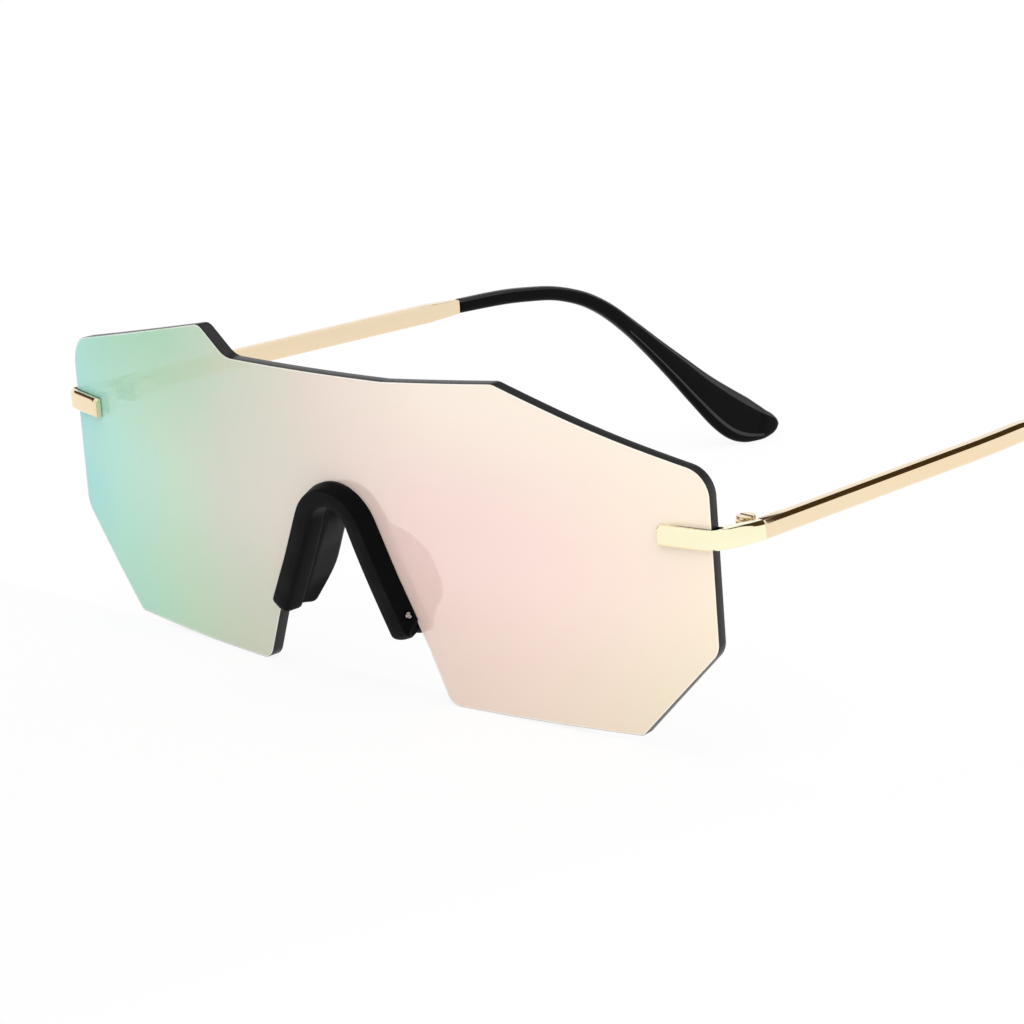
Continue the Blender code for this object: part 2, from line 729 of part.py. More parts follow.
def leaf_outline(side, length, back):
    """A knuckle ring with a plate that leaves it on a tangent, forward or back."""
    inner = KNUCKLE_RADIUS - LEAF_THICKNESS
    sweep = math.tau - math.acos(inner / KNUCKLE_RADIUS)
    steps = ROUND_STEPS
    ring = [(KNUCKLE_RADIUS * math.cos(sweep * k / steps), KNUCKLE_RADIUS * math.sin(sweep * k / steps))
            for k in range(steps + 1)]
    points = [(KNUCKLE_RADIUS, -length), *ring, (inner, -length)]
    flip = -1 if back else 1
    return [(side * x, flip * y) for x, y in points]


def leaf_mesh(side, length, back):
    low = -HINGE_BASE
    high = low + KNUCKLE_LOW + KNUCKLE_MIDDLE + KNUCKLE_TOP + 2 * HINGE_PLAY
    hole = circle(0, 0, HINGE_PIN_RADIUS + FIT_GAP)
    mesh = sheet([leaf_outline(side, length, back), hole], high - low)
    mesh.transform(Matrix.Translation((0, 0, (high + low) / 2)))
    return mesh, low, high


def make_hinge(name, side, seat, temple, fold):
    clear = KNUCKLE_RADIUS + FIT_GAP
    middle_low = -HINGE_BASE + KNUCKLE_LOW
    middle_high = middle_low + KNUCKLE_MIDDLE + 2 * HINGE_PLAY
    plain = Matrix.Identity(4)
    mesh, low, high = leaf_mesh(side, FRONT_LEAF_LENGTH, False)
    front = add_object(name + "_hinge_front_leaf", mesh, seat, plain, GOLD)
    cut(front, add_cutter(name + " front gap", cylinder(clear, middle_low, middle_high), seat, plain))
    turned_back = Matrix.Rotation(side * fold, 4, "Z")
    mesh, low, high = leaf_mesh(side, REAR_LEAF_LENGTH, True)
    rear = add_object(name + "_hinge_rear_leaf", mesh, temple, turned_back, GOLD)
    lower = cylinder(clear, low - CUT_OVERRUN, middle_low + HINGE_PLAY)
    upper = cylinder(clear, middle_high - HINGE_PLAY, high + CUT_OVERRUN)
    cut(rear, add_cutter(name + " rear lower gap", lower, temple, plain))
    cut(rear, add_cutter(name + " rear upper gap", upper, temple, plain))
    head_low = high + HINGE_PLAY
    make_screw(name + "_hinge_screw", HINGE_PIN_RADIUS, head_low - low, HINGE_HEAD_RADIUS,
               HINGE_HEAD_HEIGHT, seat, Matrix.Translation((0, 0, head_low)), GOLD)


def bar_ring(side, height, thickness):
    """Eight points of the temple bar's section in (across, up), wide facets on the outer side."""
    a, b = thickness / 2, height / 2
    top, low, inner = TEMPLE_TOP_FACET, TEMPLE_LOW_FACET, TEMPLE_INNER_EDGE
    points = [(a, b - top), (a - top, b), (inner - a, b), (-a, b - inner), (-a, inner - b),
              (inner - a, -b), (a - low, -b), (a, low - b)]
    return [(side * across, up) for across, up in points]


def tip_line(share, drop):
    """Middle of the tip's section as (back, up) from its start, and its tangent."""
    before = max(share - TIP_SLOPE_STEP, 0)
    after = min(share + TIP_SLOPE_STEP, 1)
    fall = interpolate(TIP_SHARES, share)[0]
    change = interpolate(TIP_SHARES, after)[0] - interpolate(TIP_SHARES, before)[0]
    tangent = Vector(((after - before) * TIP_RUN, -change * drop)).normalized()
    return Vector((share * TIP_RUN, -fall * drop)), tangent


def tip_ring(origin, share, drop, points):
    """Section points (across, up the section) set square to the tip's middle line."""
    middle, tangent = tip_line(share, drop)
    up = Vector((-tangent.y, tangent.x))
    ring = []
    for across, rise in points:
        place = middle + up * rise
        ring.append(origin + Vector((across, place.x, place.y)))
    return ring


def rounded_section(height, thickness):
    """A squarish oval of TIP_SIDES points."""
    points = []
    for k in range(TIP_SIDES):
        angle = math.tau * (k + 0.5) / TIP_SIDES
        x, y = math.cos(angle), math.sin(angle)
        across = math.copysign(abs(x) ** (2 / TIP_SQUARENESS), x) * thickness / 2
        rise = math.copysign(abs(y) ** (2 / TIP_SQUARENESS), y) * height / 2
        points.append((across, rise))
    return points


def make_temple(name, side, temple, floor):
    fold = math.atan(TEMPLE_INSET / TEMPLE_LENGTH)
    start_x = side * (FIT_GAP + KNUCKLE_RADIUS + TEMPLE_THICKNESS / 2)
    start_y = HINGE_AHEAD + FIT_GAP
    end_x = start_x - side * TEMPLE_INSET
    end_y = start_y + TEMPLE_LENGTH
    frame = hinge_frame(side)
    tip_start = Vector((end_x, end_y + FIT_GAP, 0))
    down = frame.translation.z - floor + (end_y + TIP_RUN) * math.sin(TEMPLE_RISE)
    drop = down / math.cos(TEMPLE_RISE) - TIP_END_LIFT

    full = bar_ring(side, TEMPLE_HEIGHT, TEMPLE_THICKNESS)
    broken = bar_ring(side, TEMPLE_HEIGHT - TEMPLE_END_EDGE, TEMPLE_THICKNESS - TEMPLE_END_EDGE)
    narrow = bar_ring(side, TEMPLE_END_HEIGHT, TEMPLE_THICKNESS)
    wire = circle(0, 0, WIRE_RADIUS, WIRE_SIDES)
    wire = [(side * across, up) for across, up in wire[1:] + wire[:1]]
    stations = [
        (start_y, broken), (start_y + TEMPLE_END_EDGE / 2, full),
        (end_y - TEMPLE_END_TAPER, full), (end_y, narrow),
    ]
    sections = []
    for back, points in stations:
        centre = start_x + (end_x - start_x) * (back - start_y) / TEMPLE_LENGTH
        sections.append([Vector((centre + across, back, up)) for across, up in points])
    wire_share = WIRE_REACH / TIP_RUN
    core = [tip_ring(tip_start, wire_share * k / WIRE_STEPS, drop, wire)
            for k in range(WIRE_STEPS + 1)]
    sections.append([Vector((point.x, end_y, point.z)) for point in core[0]])
    sections += core[1:]
    add_object(name + "_temple_bar", loft("bar", sections), temple, Matrix.Identity(4), GOLD)

    rings = []
    for i in range(len(TIP_SHARES) - 1):
        for k in range(TIP_SUBSTEPS):
            a, b = TIP_SHARES[i][0], TIP_SHARES[i + 1][0]
            rings.append(a + (b - a) * k / TIP_SUBSTEPS)
    rings.append(TIP_SHARES[-1][0])
    sections = []
    for share in rings:
        fall, height_share, thickness_share = interpolate(TIP_SHARES, share)
        points = rounded_section(PADDLE_HEIGHT * height_share, TIP_THICKNESS * thickness_share)
        sections.append(tip_ring(tip_start, share, drop, points))
    mesh = loft("tip", sections)
    shape = bmesh.new()
    shape.from_mesh(mesh)
    inverse = frame.inverted()
    cut_here = bmesh.ops.bisect_plane(
        shape, geom=shape.verts[:] + shape.edges[:] + shape.faces[:], dist=MERGE_DISTANCE,
        plane_co=inverse @ Vector((0, 0, floor)), plane_no=inverse.to_3x3() @ Vector((0, 0, -1)),
        clear_outer=True)
    rim = [item for item in cut_here["geom_cut"] if isinstance(item, bmesh.types.BMEdge)]
    if rim:
        bmesh.ops.holes_fill(shape, edges=rim, sides=0)
    bmesh.ops.recalc_face_normals(shape, faces=shape.faces)
    shape.to_mesh(mesh)
    shape.free()
    tip = add_object(name + "_temple_tip", mesh, temple, Matrix.Identity(4), TIP_BLACK)

    bore = circle(0, 0, WIRE_RADIUS + FIT_GAP, WIRE_SIDES)
    bore_share = (WIRE_REACH + FIT_GAP) / TIP_RUN
    channel = [tip_ring(tip_start, bore_share * k / WIRE_STEPS, drop, bore)
               for k in range(WIRE_STEPS + 1)]
    channel.insert(0, [point - Vector((0, CUT_OVERRUN, 0)) for point in channel[0]])
    channel.append([point + Vector((0, FIT_GAP, 0)) for point in channel[-1]])
    cut(tip, add_cutter(name + " wire bore", loft("bore", channel), temple, Matrix.Identity(4)))
    return fold


def box_corners(pieces):
    """Least and greatest corner of the finished pieces."""
    view = bpy.context.evaluated_depsgraph_get()
    low = Vector((math.inf, math.inf, math.inf))
    high = -low
    for piece in pieces:
        seen = piece.evaluated_get(view)
        mesh = seen.to_mesh()
        for vertex in mesh.vertices:
            place = seen.matrix_world @ vertex.co
            low = Vector(min(a, b) for a, b in zip(low, place))
            high = Vector(max(a, b) for a, b in zip(high, place))
        seen.to_mesh_clear()
    return low, high


def build():
    root = add_empty("sunglasses", None, Matrix.Identity(4))
    lens = make_lens(root)
    bpy.context.view_layer.update()
    floor = box_corners([lens])[0].z
    make_bridge(root)
    for name, side in SIDES.items():
        make_clip(name, side, root)
        seat = add_empty(name + "_hinge_seat", root, hinge_frame(side))
        temple = add_empty(name + "_temple_axis", seat, Matrix.Identity(4))
        fold = make_temple(name, side, temple, floor)
        make_hinge(name, side, seat, temple, fold)
    bpy.context.view_layer.update()
    solids = [piece for piece in PIECES.objects if piece.type == "MESH"]
    low, high = box_corners(solids)
    root.location = (-(low.x + high.x) / 2, -(low.y + high.y) / 2, -low.z)
    bpy.context.view_layer.update()


clear_scene()
PIECES = make_collection("shield_sunglasses")
CUTTERS = make_collection("cutters")
MIRROR = finish("mirror lens", (0.86, 0.66, 0.55), 0.06, 0.8)
BLACK = finish("matte black", (0.012, 0.012, 0.014), 0.55, 0.0)
TIP_BLACK = finish("gloss black", (0.01, 0.01, 0.011), 0.2, 0.0)
GOLD = finish("light gold", (0.83, 0.69, 0.48), 0.18, 1.0)
STEEL = finish("steel", (0.6, 0.6, 0.62), 0.3, 1.0)
CLEAR = finish("clear bushing", (0.8, 0.8, 0.78), 0.3, 0.0)
build()
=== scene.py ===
"""Finish of a pair of shield sunglasses: fine surfaces, materials, table, light and camera.

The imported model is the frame. Every piece here is worked out from it and from the sizes below,
in metres: X across the face, Y back along the temples, Z up, the table at Z = 0.
"""
import json
import math

import bmesh
import bpy
import numpy as np
from bpy.props import FloatProperty, FloatVectorProperty, PointerProperty
from mathutils import Matrix, Vector


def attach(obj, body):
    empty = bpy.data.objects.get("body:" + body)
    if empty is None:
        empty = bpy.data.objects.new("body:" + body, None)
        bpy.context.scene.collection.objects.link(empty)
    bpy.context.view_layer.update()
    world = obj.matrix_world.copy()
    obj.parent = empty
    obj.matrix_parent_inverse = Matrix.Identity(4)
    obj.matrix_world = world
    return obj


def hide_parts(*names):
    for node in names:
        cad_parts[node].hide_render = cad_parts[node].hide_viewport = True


bl_info = {
    "name": "Shield Sunglasses Finish",
    "version": (1, 0, 0),
    "blender": (4, 5, 0),
    "location": "3D View > Sidebar > Shield",
    "description": "Builds the fine surfaces, materials and studio of a pair of shield sunglasses",
    "category": "Add Mesh",
}

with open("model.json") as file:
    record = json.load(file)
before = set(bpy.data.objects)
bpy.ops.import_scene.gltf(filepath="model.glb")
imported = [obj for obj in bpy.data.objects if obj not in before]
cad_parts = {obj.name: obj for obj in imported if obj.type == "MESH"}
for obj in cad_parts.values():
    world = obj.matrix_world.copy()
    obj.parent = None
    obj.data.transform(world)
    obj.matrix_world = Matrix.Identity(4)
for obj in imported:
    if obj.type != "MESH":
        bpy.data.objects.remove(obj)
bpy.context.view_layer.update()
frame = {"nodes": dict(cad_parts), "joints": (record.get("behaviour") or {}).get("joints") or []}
SIDES = {"left": 1, "right": -1}

# Gaps between touching pieces, the finest roundings, and how near points count as one
FIT_GAP = 0.0003
CONTACT_GAP = 0.00004
LEG_GAP = 0.00012
CRISP_ROUND = 0.0001
SLIGHT_ROUND = 0.0003
MERGE_REACH = 0.000002
CAD_MERGE_REACH = 0.000001
COLUMN_DIGITS = 6
LEAST_TURN = 0.001
SIDE_REACH_SHARE = 0.49
TINY = 1e-9

# Flat outline of the lens, in lens space: along and up
HALF_WIDTH = 0.0729
LEFT_SIDE_LEAN = -0.0007
RIGHT_SIDE_LEAN = 0.0008
LEFT_SIDE_DRAW = 0.0004
LEFT_CHIN_RUN = 0.0003
LEFT_BROW_SAG = 0.0006
LEFT_BROW_RADIUS = 0.35
FOOT_LIFT = 0.00003
SIDE_FOOT = 0.0149
SIDE_HEIGHT = 0.0275
SIDE_ROUND = 0.0035
LEFT_TOP_ROUND = 0.0046
RIGHT_TOP_ROUND = 0.0060
CHIN_OUT = 0.0574
CHIN_RISE = 0.0004
CHIN_ROUND = 0.0012
PEAK_RISE = 0.01007
PEAK_ROUND = 0.0028
LEFT_PEAK_OUT = 0.0350
RIGHT_PEAK_OUT = 0.0311
STEP_RUN = 0.0064
STEP_DROP = 0.0043
STEP_ROUND = 0.0050
STEP_SLANT = 0.00045
BROW_OUT = 0.0122
BROW_DROP = 0.0025
BROW_ROUND = 0.0150
NOTCH_FOOT_OUT = 0.0207
NOTCH_FOOT_ROUND = 0.0028
KNEE_OUT = 0.0171
KNEE_HEIGHT = 0.0084
KNEE_ROUND = 0.0040
APEX_HEIGHT = 0.0315
APEX_RADIUS = 0.0080
RIM_SOFT = 0.00006
RIM_STEPS = 3
LENS_HOLE_INSET = 0.0046
LENS_HOLE_RADIUS = 0.0016
LENS_HOLE_SIDES = 48
LENS_ARC_STEPS = 20
LENS_COLUMNS = 97
LENS_ROWS = 14
COAT_FACE, HIGHLIGHT_BORDER_FACE, EDGE_FACE, REAR_FACE = range(4)

# Path of the bridge round the notch, and where its rounded ends start in their quarter turn
BRIDGE_LIMB_STEPS = 36
BRIDGE_ARC_STEPS = 40
BRIDGE_END_STEPS = 8
BRIDGE_END_SHARE = 0.12

# Front bar of the bridge: corners of its crest as shares of width and depth, and their rounding
BAR_FOOT_HEIGHT = 0.0108
BAR_END_ROUND = 0.0016
BAR_WIDTH = 0.0038
BAR_APEX_SHARE = 0.70
BAR_DEPTH = 0.0030
BAR_CREST = ((0.095, 0.98, 0.0005), (0.53, 1.0, 0.0060), (1.0, 0.975, 0.0007))
BAR_SWELL = 0.0004
BAR_SWELL_SHARES = (0.35, 0.85)
BAR_LIP = 0.0005
BAR_LIP_TOP = 0.0008
BAR_LIP_ROUND = 0.00015
BAR_TUCK = 0.0005
BAR_TUCK_ROUND = 0.0005
BAR_CORNER_STEPS = 5
# Corner numbers between which the bar is smoother and painted darker as shade: its flank and its inner
# wall
BAR_SMOOTH_SHADED_BANDS = ((0.6, 2.4), (4.6, 5.9))
# How far the lip slides up its limb near a foot, and where it fades: across, forward and up
BAR_LIP_RISE = 0.0012
BAR_LIP_ACROSS = (-0.0002, 0.0006)
BAR_LIP_FORWARD = (0.0004, 0.0022)
BAR_LIP_HEIGHT = 0.0032
BAR_LIP_FADE = 0.0034

# Nose saddle: its web and lip, and the corners of the pad's edge as shares of half its thickness
SADDLE_FOOT_HEIGHT = 0.0108
SADDLE_END_ROUND = 0.0010
SADDLE_WEB = 0.0025
SADDLE_WEB_FLARE = 0.0002
SADDLE_WEB_ROUND = 0.0020
SADDLE_LIP = 0.00035
SADDLE_LIP_THICKNESS = 0.00075
SADDLE_ROOT_ROUND = 0.0004
SADDLE_CORNER_STEPS = 5
PAD_EDGE_SHARES = ((1.0, 1.0, 0.9), (0.3, 0.0, 0.8), (-0.3, 0.0, 0.8), (-1.0, 1.0, 0.9))
# Height up the saddle, depth behind the lens and inset of the pad's rear edge, as shares
PAD_SHARES = (
    (0.0, 0.50, 0.66), (0.10, 0.68, 0.54), (0.175, 0.90, 0.30), (0.264, 0.988, 0.22),
    (0.354, 1.0, 0.19), (0.448, 1.0, 0.165), (0.547, 0.94, 0.274), (0.665, 0.81, 0.52),
    (0.795, 0.56, 0.90), (1.0, 0.50, 0.93),
)

# Tabs of the saddle in the feet of the bar, and the pockets of their screws
TAB_HEIGHT = 0.0136
TAB_INSET = 0.0009
TAB_THICKNESS = 0.0014
TAB_WIDTH = 0.0030
TAB_REACH = 0.00215
TAB_ROOT = 0.0006
SCREW_FORWARD = 0.0013
SCREW_POCKET = 0.0008
SCREW_POCKET_SIDES = 32
SCREW_SEAT = 0.0003

# End clips: the strip in plan
CLIP_LEVEL = 0.0324
CLIP_FALL = math.radians(4.16)
CLIP_BAND = 0.0012
CLIP_FRONT_THICKNESS = 0.0011
CLIP_REAR_THICKNESS = 0.0010
CLIP_FRONT_LENGTH = 0.0089
CLIP_REAR_LENGTH = 0.0074
CLIP_REACH = 0.0096
CLIP_ROUND = 0.0034
CLIP_INNER_ROUND = 0.0008
CLIP_BAND_ROUND = 0.0002
CLIP_ARM_ROUND = 0.00005
CLIP_END_ROUND = 0.00045
CLIP_CORNER_STEPS = 8
CLIP_SIDE_STEP = 0.0006
HINGE_AHEAD = 0.00025
KNUCKLE_RADIUS = 0.0016

# End clips: their softened edges, drawn in by a hair to keep inside the CAD's box
CLIP_SOFT = 0.00022
CLIP_EDGE_POINTS = 5
CLIP_HAIR = 0.000002
# Facets of a clip: their strength at the fold, where they fade behind it and return on the arm
CLIP_FACET_SHARE = 0.8
CLIP_FOLD_FADE = np.array([0.0018, 0.0030])
CLIP_ARM_FADE = np.array([-0.0052, -0.0010])
# Where behind the fold the left clip starts to fall to its temple
CLIP_DROP_START = 0.001
# Corners of the strip's plan: the outer side of the fold and the outer end of the arm
CLIP_FOLD, CLIP_ARM_END = 1, 2

# Broken edges of the small pieces
BROKEN_STEPS = 3
BROKEN_ANGLE = math.radians(40)
FLAT_ANGLE = math.radians(1)
HINGE_EDGE = 0.00008
HINGE_SCREW_EDGE = 0.00018
LENS_SCREW_EDGE = 0.00008
BRIDGE_SCREW_EDGE = 0.00007
BUSHING_EDGE = 0.00005

# Gold bars of the temples: their section, their start and their narrower end
TOP_FACET = 0.00058
LOW_FACET = 0.00045
INNER_EDGE = 0.00015
INNER_CROWN = 0.00005
INNER_CROWN_ROUND = 0.03
TEMPLE_SOFT = 0.00008
TEMPLE_CORNER_STEPS = 4
TEMPLE_INNER_BAND = (3.5, 5.1)
# Ways from the start of a bar with the section's size there, and how far it reaches into its gap
TEMPLE_START = np.array([(0.0, 0.90), (0.0001, 0.97), (0.0003, 1.0)])
TEMPLE_BACK_SHARE = 0.8
TEMPLE_STEPS = 12
TEMPLE_END_STEPS = 9
TEMPLE_END_HEIGHT = 0.0023
TEMPLE_END_TAPER = 0.0060
# How far the left bar sits below its hinge's middle, and where along it that ends
LEFT_TEMPLE_DROP = 0.00028
TEMPLE_DROP_SHARES = (0.75, 1.0)
# Core wire of a bar, inside its tip
WIRE_RADIUS = 0.0005
WIRE_REACH = 0.0450
WIRE_STEPS = 40

# Black tips
TIP_STATIONS = 150
TIP_SIDES = 96
TIP_CROWDING = 1.15
TIP_FINE_POINTS = 501
TIP_SQUARENESS = 2.7
TIP_END_LIFT = 0.0013
# Run along the tip, drop below its start, height and thickness of the section, as shares
TIP_SHARES = (
    (0.0, 0.002, 0.285, 0.94), (0.008, 0.002, 0.294, 1.0), (0.144, 0.018, 0.306, 1.0),
    (0.232, 0.040, 0.303, 1.0), (0.297, 0.063, 0.300, 1.0), (0.359, 0.101, 0.306, 1.0),
    (0.411, 0.146, 0.314, 1.0), (0.471, 0.219, 0.328, 1.0), (0.540, 0.328, 0.352, 1.0),
    (0.610, 0.451, 0.442, 0.98), (0.685, 0.586, 0.592, 0.96), (0.757, 0.718, 0.760, 0.93),
    (0.831, 0.843, 0.955, 0.92), (0.881, 0.910, 0.975, 0.91), (0.936, 0.957, 0.760, 0.88),
    (0.975, 0.974, 0.500, 0.80), (0.992, 0.978, 0.300, 0.66), (1.0, 0.979, 0.100, 0.42),
)
# Panel let into a tip, and its rims painted as highlight, as shares of the run, half the height and
# half the width
PANEL_DEPTH = 0.00018
PANEL_RUN_SHARES = ((0.50, 0.56), (0.925, 0.955))
PANEL_LEVEL_SHARES = ((-0.62, -0.52), (0.86, 0.93))
PADDLE_SHARES = (0.53, 0.945)
TOP_HIGHLIGHT_RIM_SHARES = (0.70, 0.985)
TOP_HIGHLIGHT_RIM_OUT_SHARE = 0.25
LOW_HIGHLIGHT_RIM_SHARES = (-0.66, -0.48)

# Scales of the coat's grain and drift, and the part of a noise's range that shows
COAT_NOISE = (2600.0, 34.0)
NOISE_REACH = (0.3, 0.7)
COAT_NOISE_REACH = (0.3, 0.8)
# How solid the coat is from behind, and the rear face from outside and from within
COAT_BEHIND_SHARE = 0.55
REAR_SHARES = (0.45, 0.06)
POLISHED_ROUGH = 0.07
SATIN_ROUGH = 0.32
GOLD_ROUGH_RANGE = 0.06

# Places of the coat's tints along the lens, and where they change up it
AQUA_END, MINT_SPOT, CELADON_SPOT, SAGE_SPOT = -HALF_WIDTH, -0.062, -0.044, -0.028
SHELL_SPOT, BLUSH_SPOT, ROSE_SPOT, CREAM_END = -0.003, 0.020, 0.042, HALF_WIDTH
LEAF_SPOTS, CROWN_SHELL_SPOT, IVORY_SPOT = (-0.062, -0.040), -0.004, 0.022
CROWN_HEIGHT = (0.026, 0.054)
CROWN_SHARE = 0.8
# Height up to which painted shade dims the coat's foot
FOOT_SHADE_HEIGHT = 0.027
TINT_DRIFT = 0.003

# Table, with its hollow and the points of its grid: across, down its front and up its rear
FLOOR_SPAN = 12.0
FLOOR_GLOW = 0.88
FLOOR_BOUNCE = 0.75
HOLLOW_DEPTH = 0.0054
HOLLOW_FRONT = (-0.0712, -0.0692)
HOLLOW_REAR = (-0.040, 0.030)
HOLLOW_SIDE = (0.080, 0.120)
HOLLOW_POINTS = (61, 9, 41)

# Room, lamp and camera: the dark card's direction and its soft edges, as parts of a unit vector
CARD_AWAY = (-0.736, 0.677)
CARD_FOOT = (0.36, 0.40)
CARD_TOP = (0.755, 0.80)
CARD_EDGE = (0.10, 0.20)
SKY_LEVEL = 0.68
SUN_LEVEL = 1.75
SUN_SPREAD = math.radians(70)
LAMP_AIM = (-0.55, 0.50, -0.67)
SENSOR_WIDTH = 36.0
NEAR_CUT = 0.01


def length(name, description, default):
    return FloatProperty(name=name, description=description, default=default, unit="LENGTH",
                         precision=5)


def angle(name, description, default):
    return FloatProperty(name=name, description=description, default=math.radians(default),
                         subtype="ANGLE")


def share(name, description, default):
    return FloatProperty(name=name, description=description, default=default, min=0.0, max=1.0,
                         subtype="FACTOR")


def colour(name, description, default):
    return FloatVectorProperty(name=name, description=description, default=default, size=3,
                               min=0.0, max=1.0, subtype="COLOR")


class LensSettings(bpy.types.PropertyGroup):
    radius: length("Curve Radius", "Radius of the cylinder that the lens lies on", 0.2918)
    thickness: length("Thickness", "Thickness of the lens", 0.00195)
    # The pale colour of this border is a painted highlight; its width is real.
    bevel: length("Bevel", "Width of the pale polished border round the front", 0.00020)
    lean: angle("Lean", "How far the lens leans forward", 4.76)
    aqua: colour("Aqua", "Coat at the wearer's far right edge", (0.405, 0.800, 0.775))
    mint: colour("Mint", "Coat next to the aqua edge", (0.500, 0.840, 0.720))
    celadon: colour("Celadon", "Coat outside the right eye", (0.610, 0.795, 0.625))
    sage: colour("Sage", "Coat over the right eye", (0.708, 0.723, 0.624))
    shell: colour("Shell", "Coat over the nose", (0.855, 0.738, 0.658))
    blush: colour("Blush", "Coat beside the nose", (0.950, 0.728, 0.685))
    rose: colour("Rose", "Coat over the left eye", (0.991, 0.776, 0.716))
    cream: colour("Cream", "Coat at the wearer's left edge", (1.0, 0.863, 0.701))
    leaf: colour("Leaf", "Coat along the top on the wearer's right", (0.395, 0.690, 0.480))
    ivory: colour("Ivory", "Coat along the top on the wearer's left", (1.0, 0.922, 0.784))
    # Painted shade: the coat is dimmed towards its bottom edge, near the table.
    foot: colour("Foot", "What the coat is dimmed by along the bottom", (0.860, 0.905, 0.820))
    smoke: colour("Smoke", "Tint of the lens seen from behind", (0.150, 0.105, 0.085))
    edge: colour("Edge", "Cut edge of the tinted sheet", (0.014, 0.014, 0.015))
    see_through: share("See Through", "Share of light that the mirror lets through", 0.10)
    mirror: share("Mirror", "How much of the coat's sheen is a true mirror", 0.05)


class BridgeSettings(bpy.types.PropertyGroup):
    pad_depth: length("Pad Depth", "How far the nose pads reach behind the lens", 0.0084)
    pad_inset: length("Pad Inset", "How far the pad's rear edge is set from the notch", 0.00365)
    pad_thickness: length("Pad Thickness", "Thickness of the pads", 0.0017)
    colour: colour("Nylon", "Matte moulded nylon", (0.0034, 0.0034, 0.0038))
    grain: share("Grain", "Strength of the moulded grain", 0.25)


class MetalSettings(bpy.types.PropertyGroup):
    clip_height: length("Clip Height", "Height of the clips on the side edges", 0.00315)
    temple_gold: colour("Temple Gold", "Plating of the temples, the right clip and the hinges",
                        (0.920, 0.760, 0.540))
    # The left clip has the same plating as the right clip; its lighter, yellower gold is a painted
    # highlight.
    left_clip_lit_gold: colour("Clip Gold", "Plating of the left clip", (0.990, 0.950, 0.680))
    steel: colour("Steel", "Bridge screws", (0.560, 0.560, 0.580))


class TempleSettings(bpy.types.PropertyGroup):
    length: length("Bar Length", "Length of the gold bar", 0.06665)
    height: length("Bar Height", "Height of the gold bar", 0.0030)
    thickness: length("Bar Thickness", "Thickness of the gold bar", 0.0020)
    inset: length("Inset", "How far the bar slants inward over its length", 0.00655)
    tip_run: length("Tip Run", "Length of the black tip, measured level", 0.0724)
    tip_thickness: length("Tip Thickness", "Thickness of the black tip", 0.0024)
    paddle: length("Paddle Height", "Greatest height of the tip's flat end", 0.0080)
    black: colour("Tip Black", "Glossy tip", (0.0017, 0.0017, 0.0020))


class StageSettings(bpy.types.PropertyGroup):
    azimuth: angle("Azimuth", "Turn of the camera about the glasses", 47.4)
    elevation: angle("Elevation", "Height of the camera above the horizon", 13.91)
    roll: angle("Roll", "Turn of the camera about its own axis", 1.85)
    distance: length("Distance", "From the camera to its target", 1.1596)
    target: FloatVectorProperty(name="Target", description="Point that the camera looks at",
                                default=(0.00649, -0.04835, 0.02265), size=3, unit="LENGTH")
    focal: FloatProperty(name="Focal Length", description="In millimetres, on a 36 mm frame",
                         default=264.7)
    floor: colour("Floor", "Pale table", (1.0, 1.0, 1.0))
    dark: colour("Dark Card", "What polished edges reflect behind the table", (0.056, 0.032, 0.010))


def settings():
    return bpy.context.scene


# Numbers on grids

def smoothstep(value, low, high):
    """0 below low, 1 above high, and 3 t squared less 2 t cubed between."""
    t = np.clip((value - low) / (high - low), 0, 1)
    return t * t * (3 - 2 * t)


def window(value, rise, fall):
    """A smooth step up over the range rise, times a smooth step down over the range fall."""
    return smoothstep(value, *rise) * (1 - smoothstep(value, *fall))


def within(value, low, high):
    return (value > low) & (value < high)


def circle(sides):
    return np.linspace(0, math.tau, sides, endpoint=False)


def smooth_table(table, places):
    """Cubic through a table's rows: the slope at a row is that of the chord of its neighbours."""
    table = np.asarray(table, float)
    x, values = table[:, 0], table[:, 1:]
    rows = np.arange(len(x))
    before, after = np.maximum(rows - 1, 0), np.minimum(rows + 1, len(x) - 1)
    slopes = (values[after] - values[before]) / (x[after] - x[before])[:, None]
    i = np.clip(np.searchsorted(x, places, side="right") - 1, 0, len(x) - 2)
    span = (x[i + 1] - x[i])[:, None]
    t = np.clip((places - x[i]) / (x[i + 1] - x[i]), 0, 1)[:, None]
    return ((2 * t**3 - 3 * t**2 + 1) * values[i] + (t**3 - 2 * t**2 + t) * slopes[i] * span
            + (3 * t**2 - 2 * t**3) * values[i + 1] + (t**3 - t**2) * slopes[i + 1] * span)


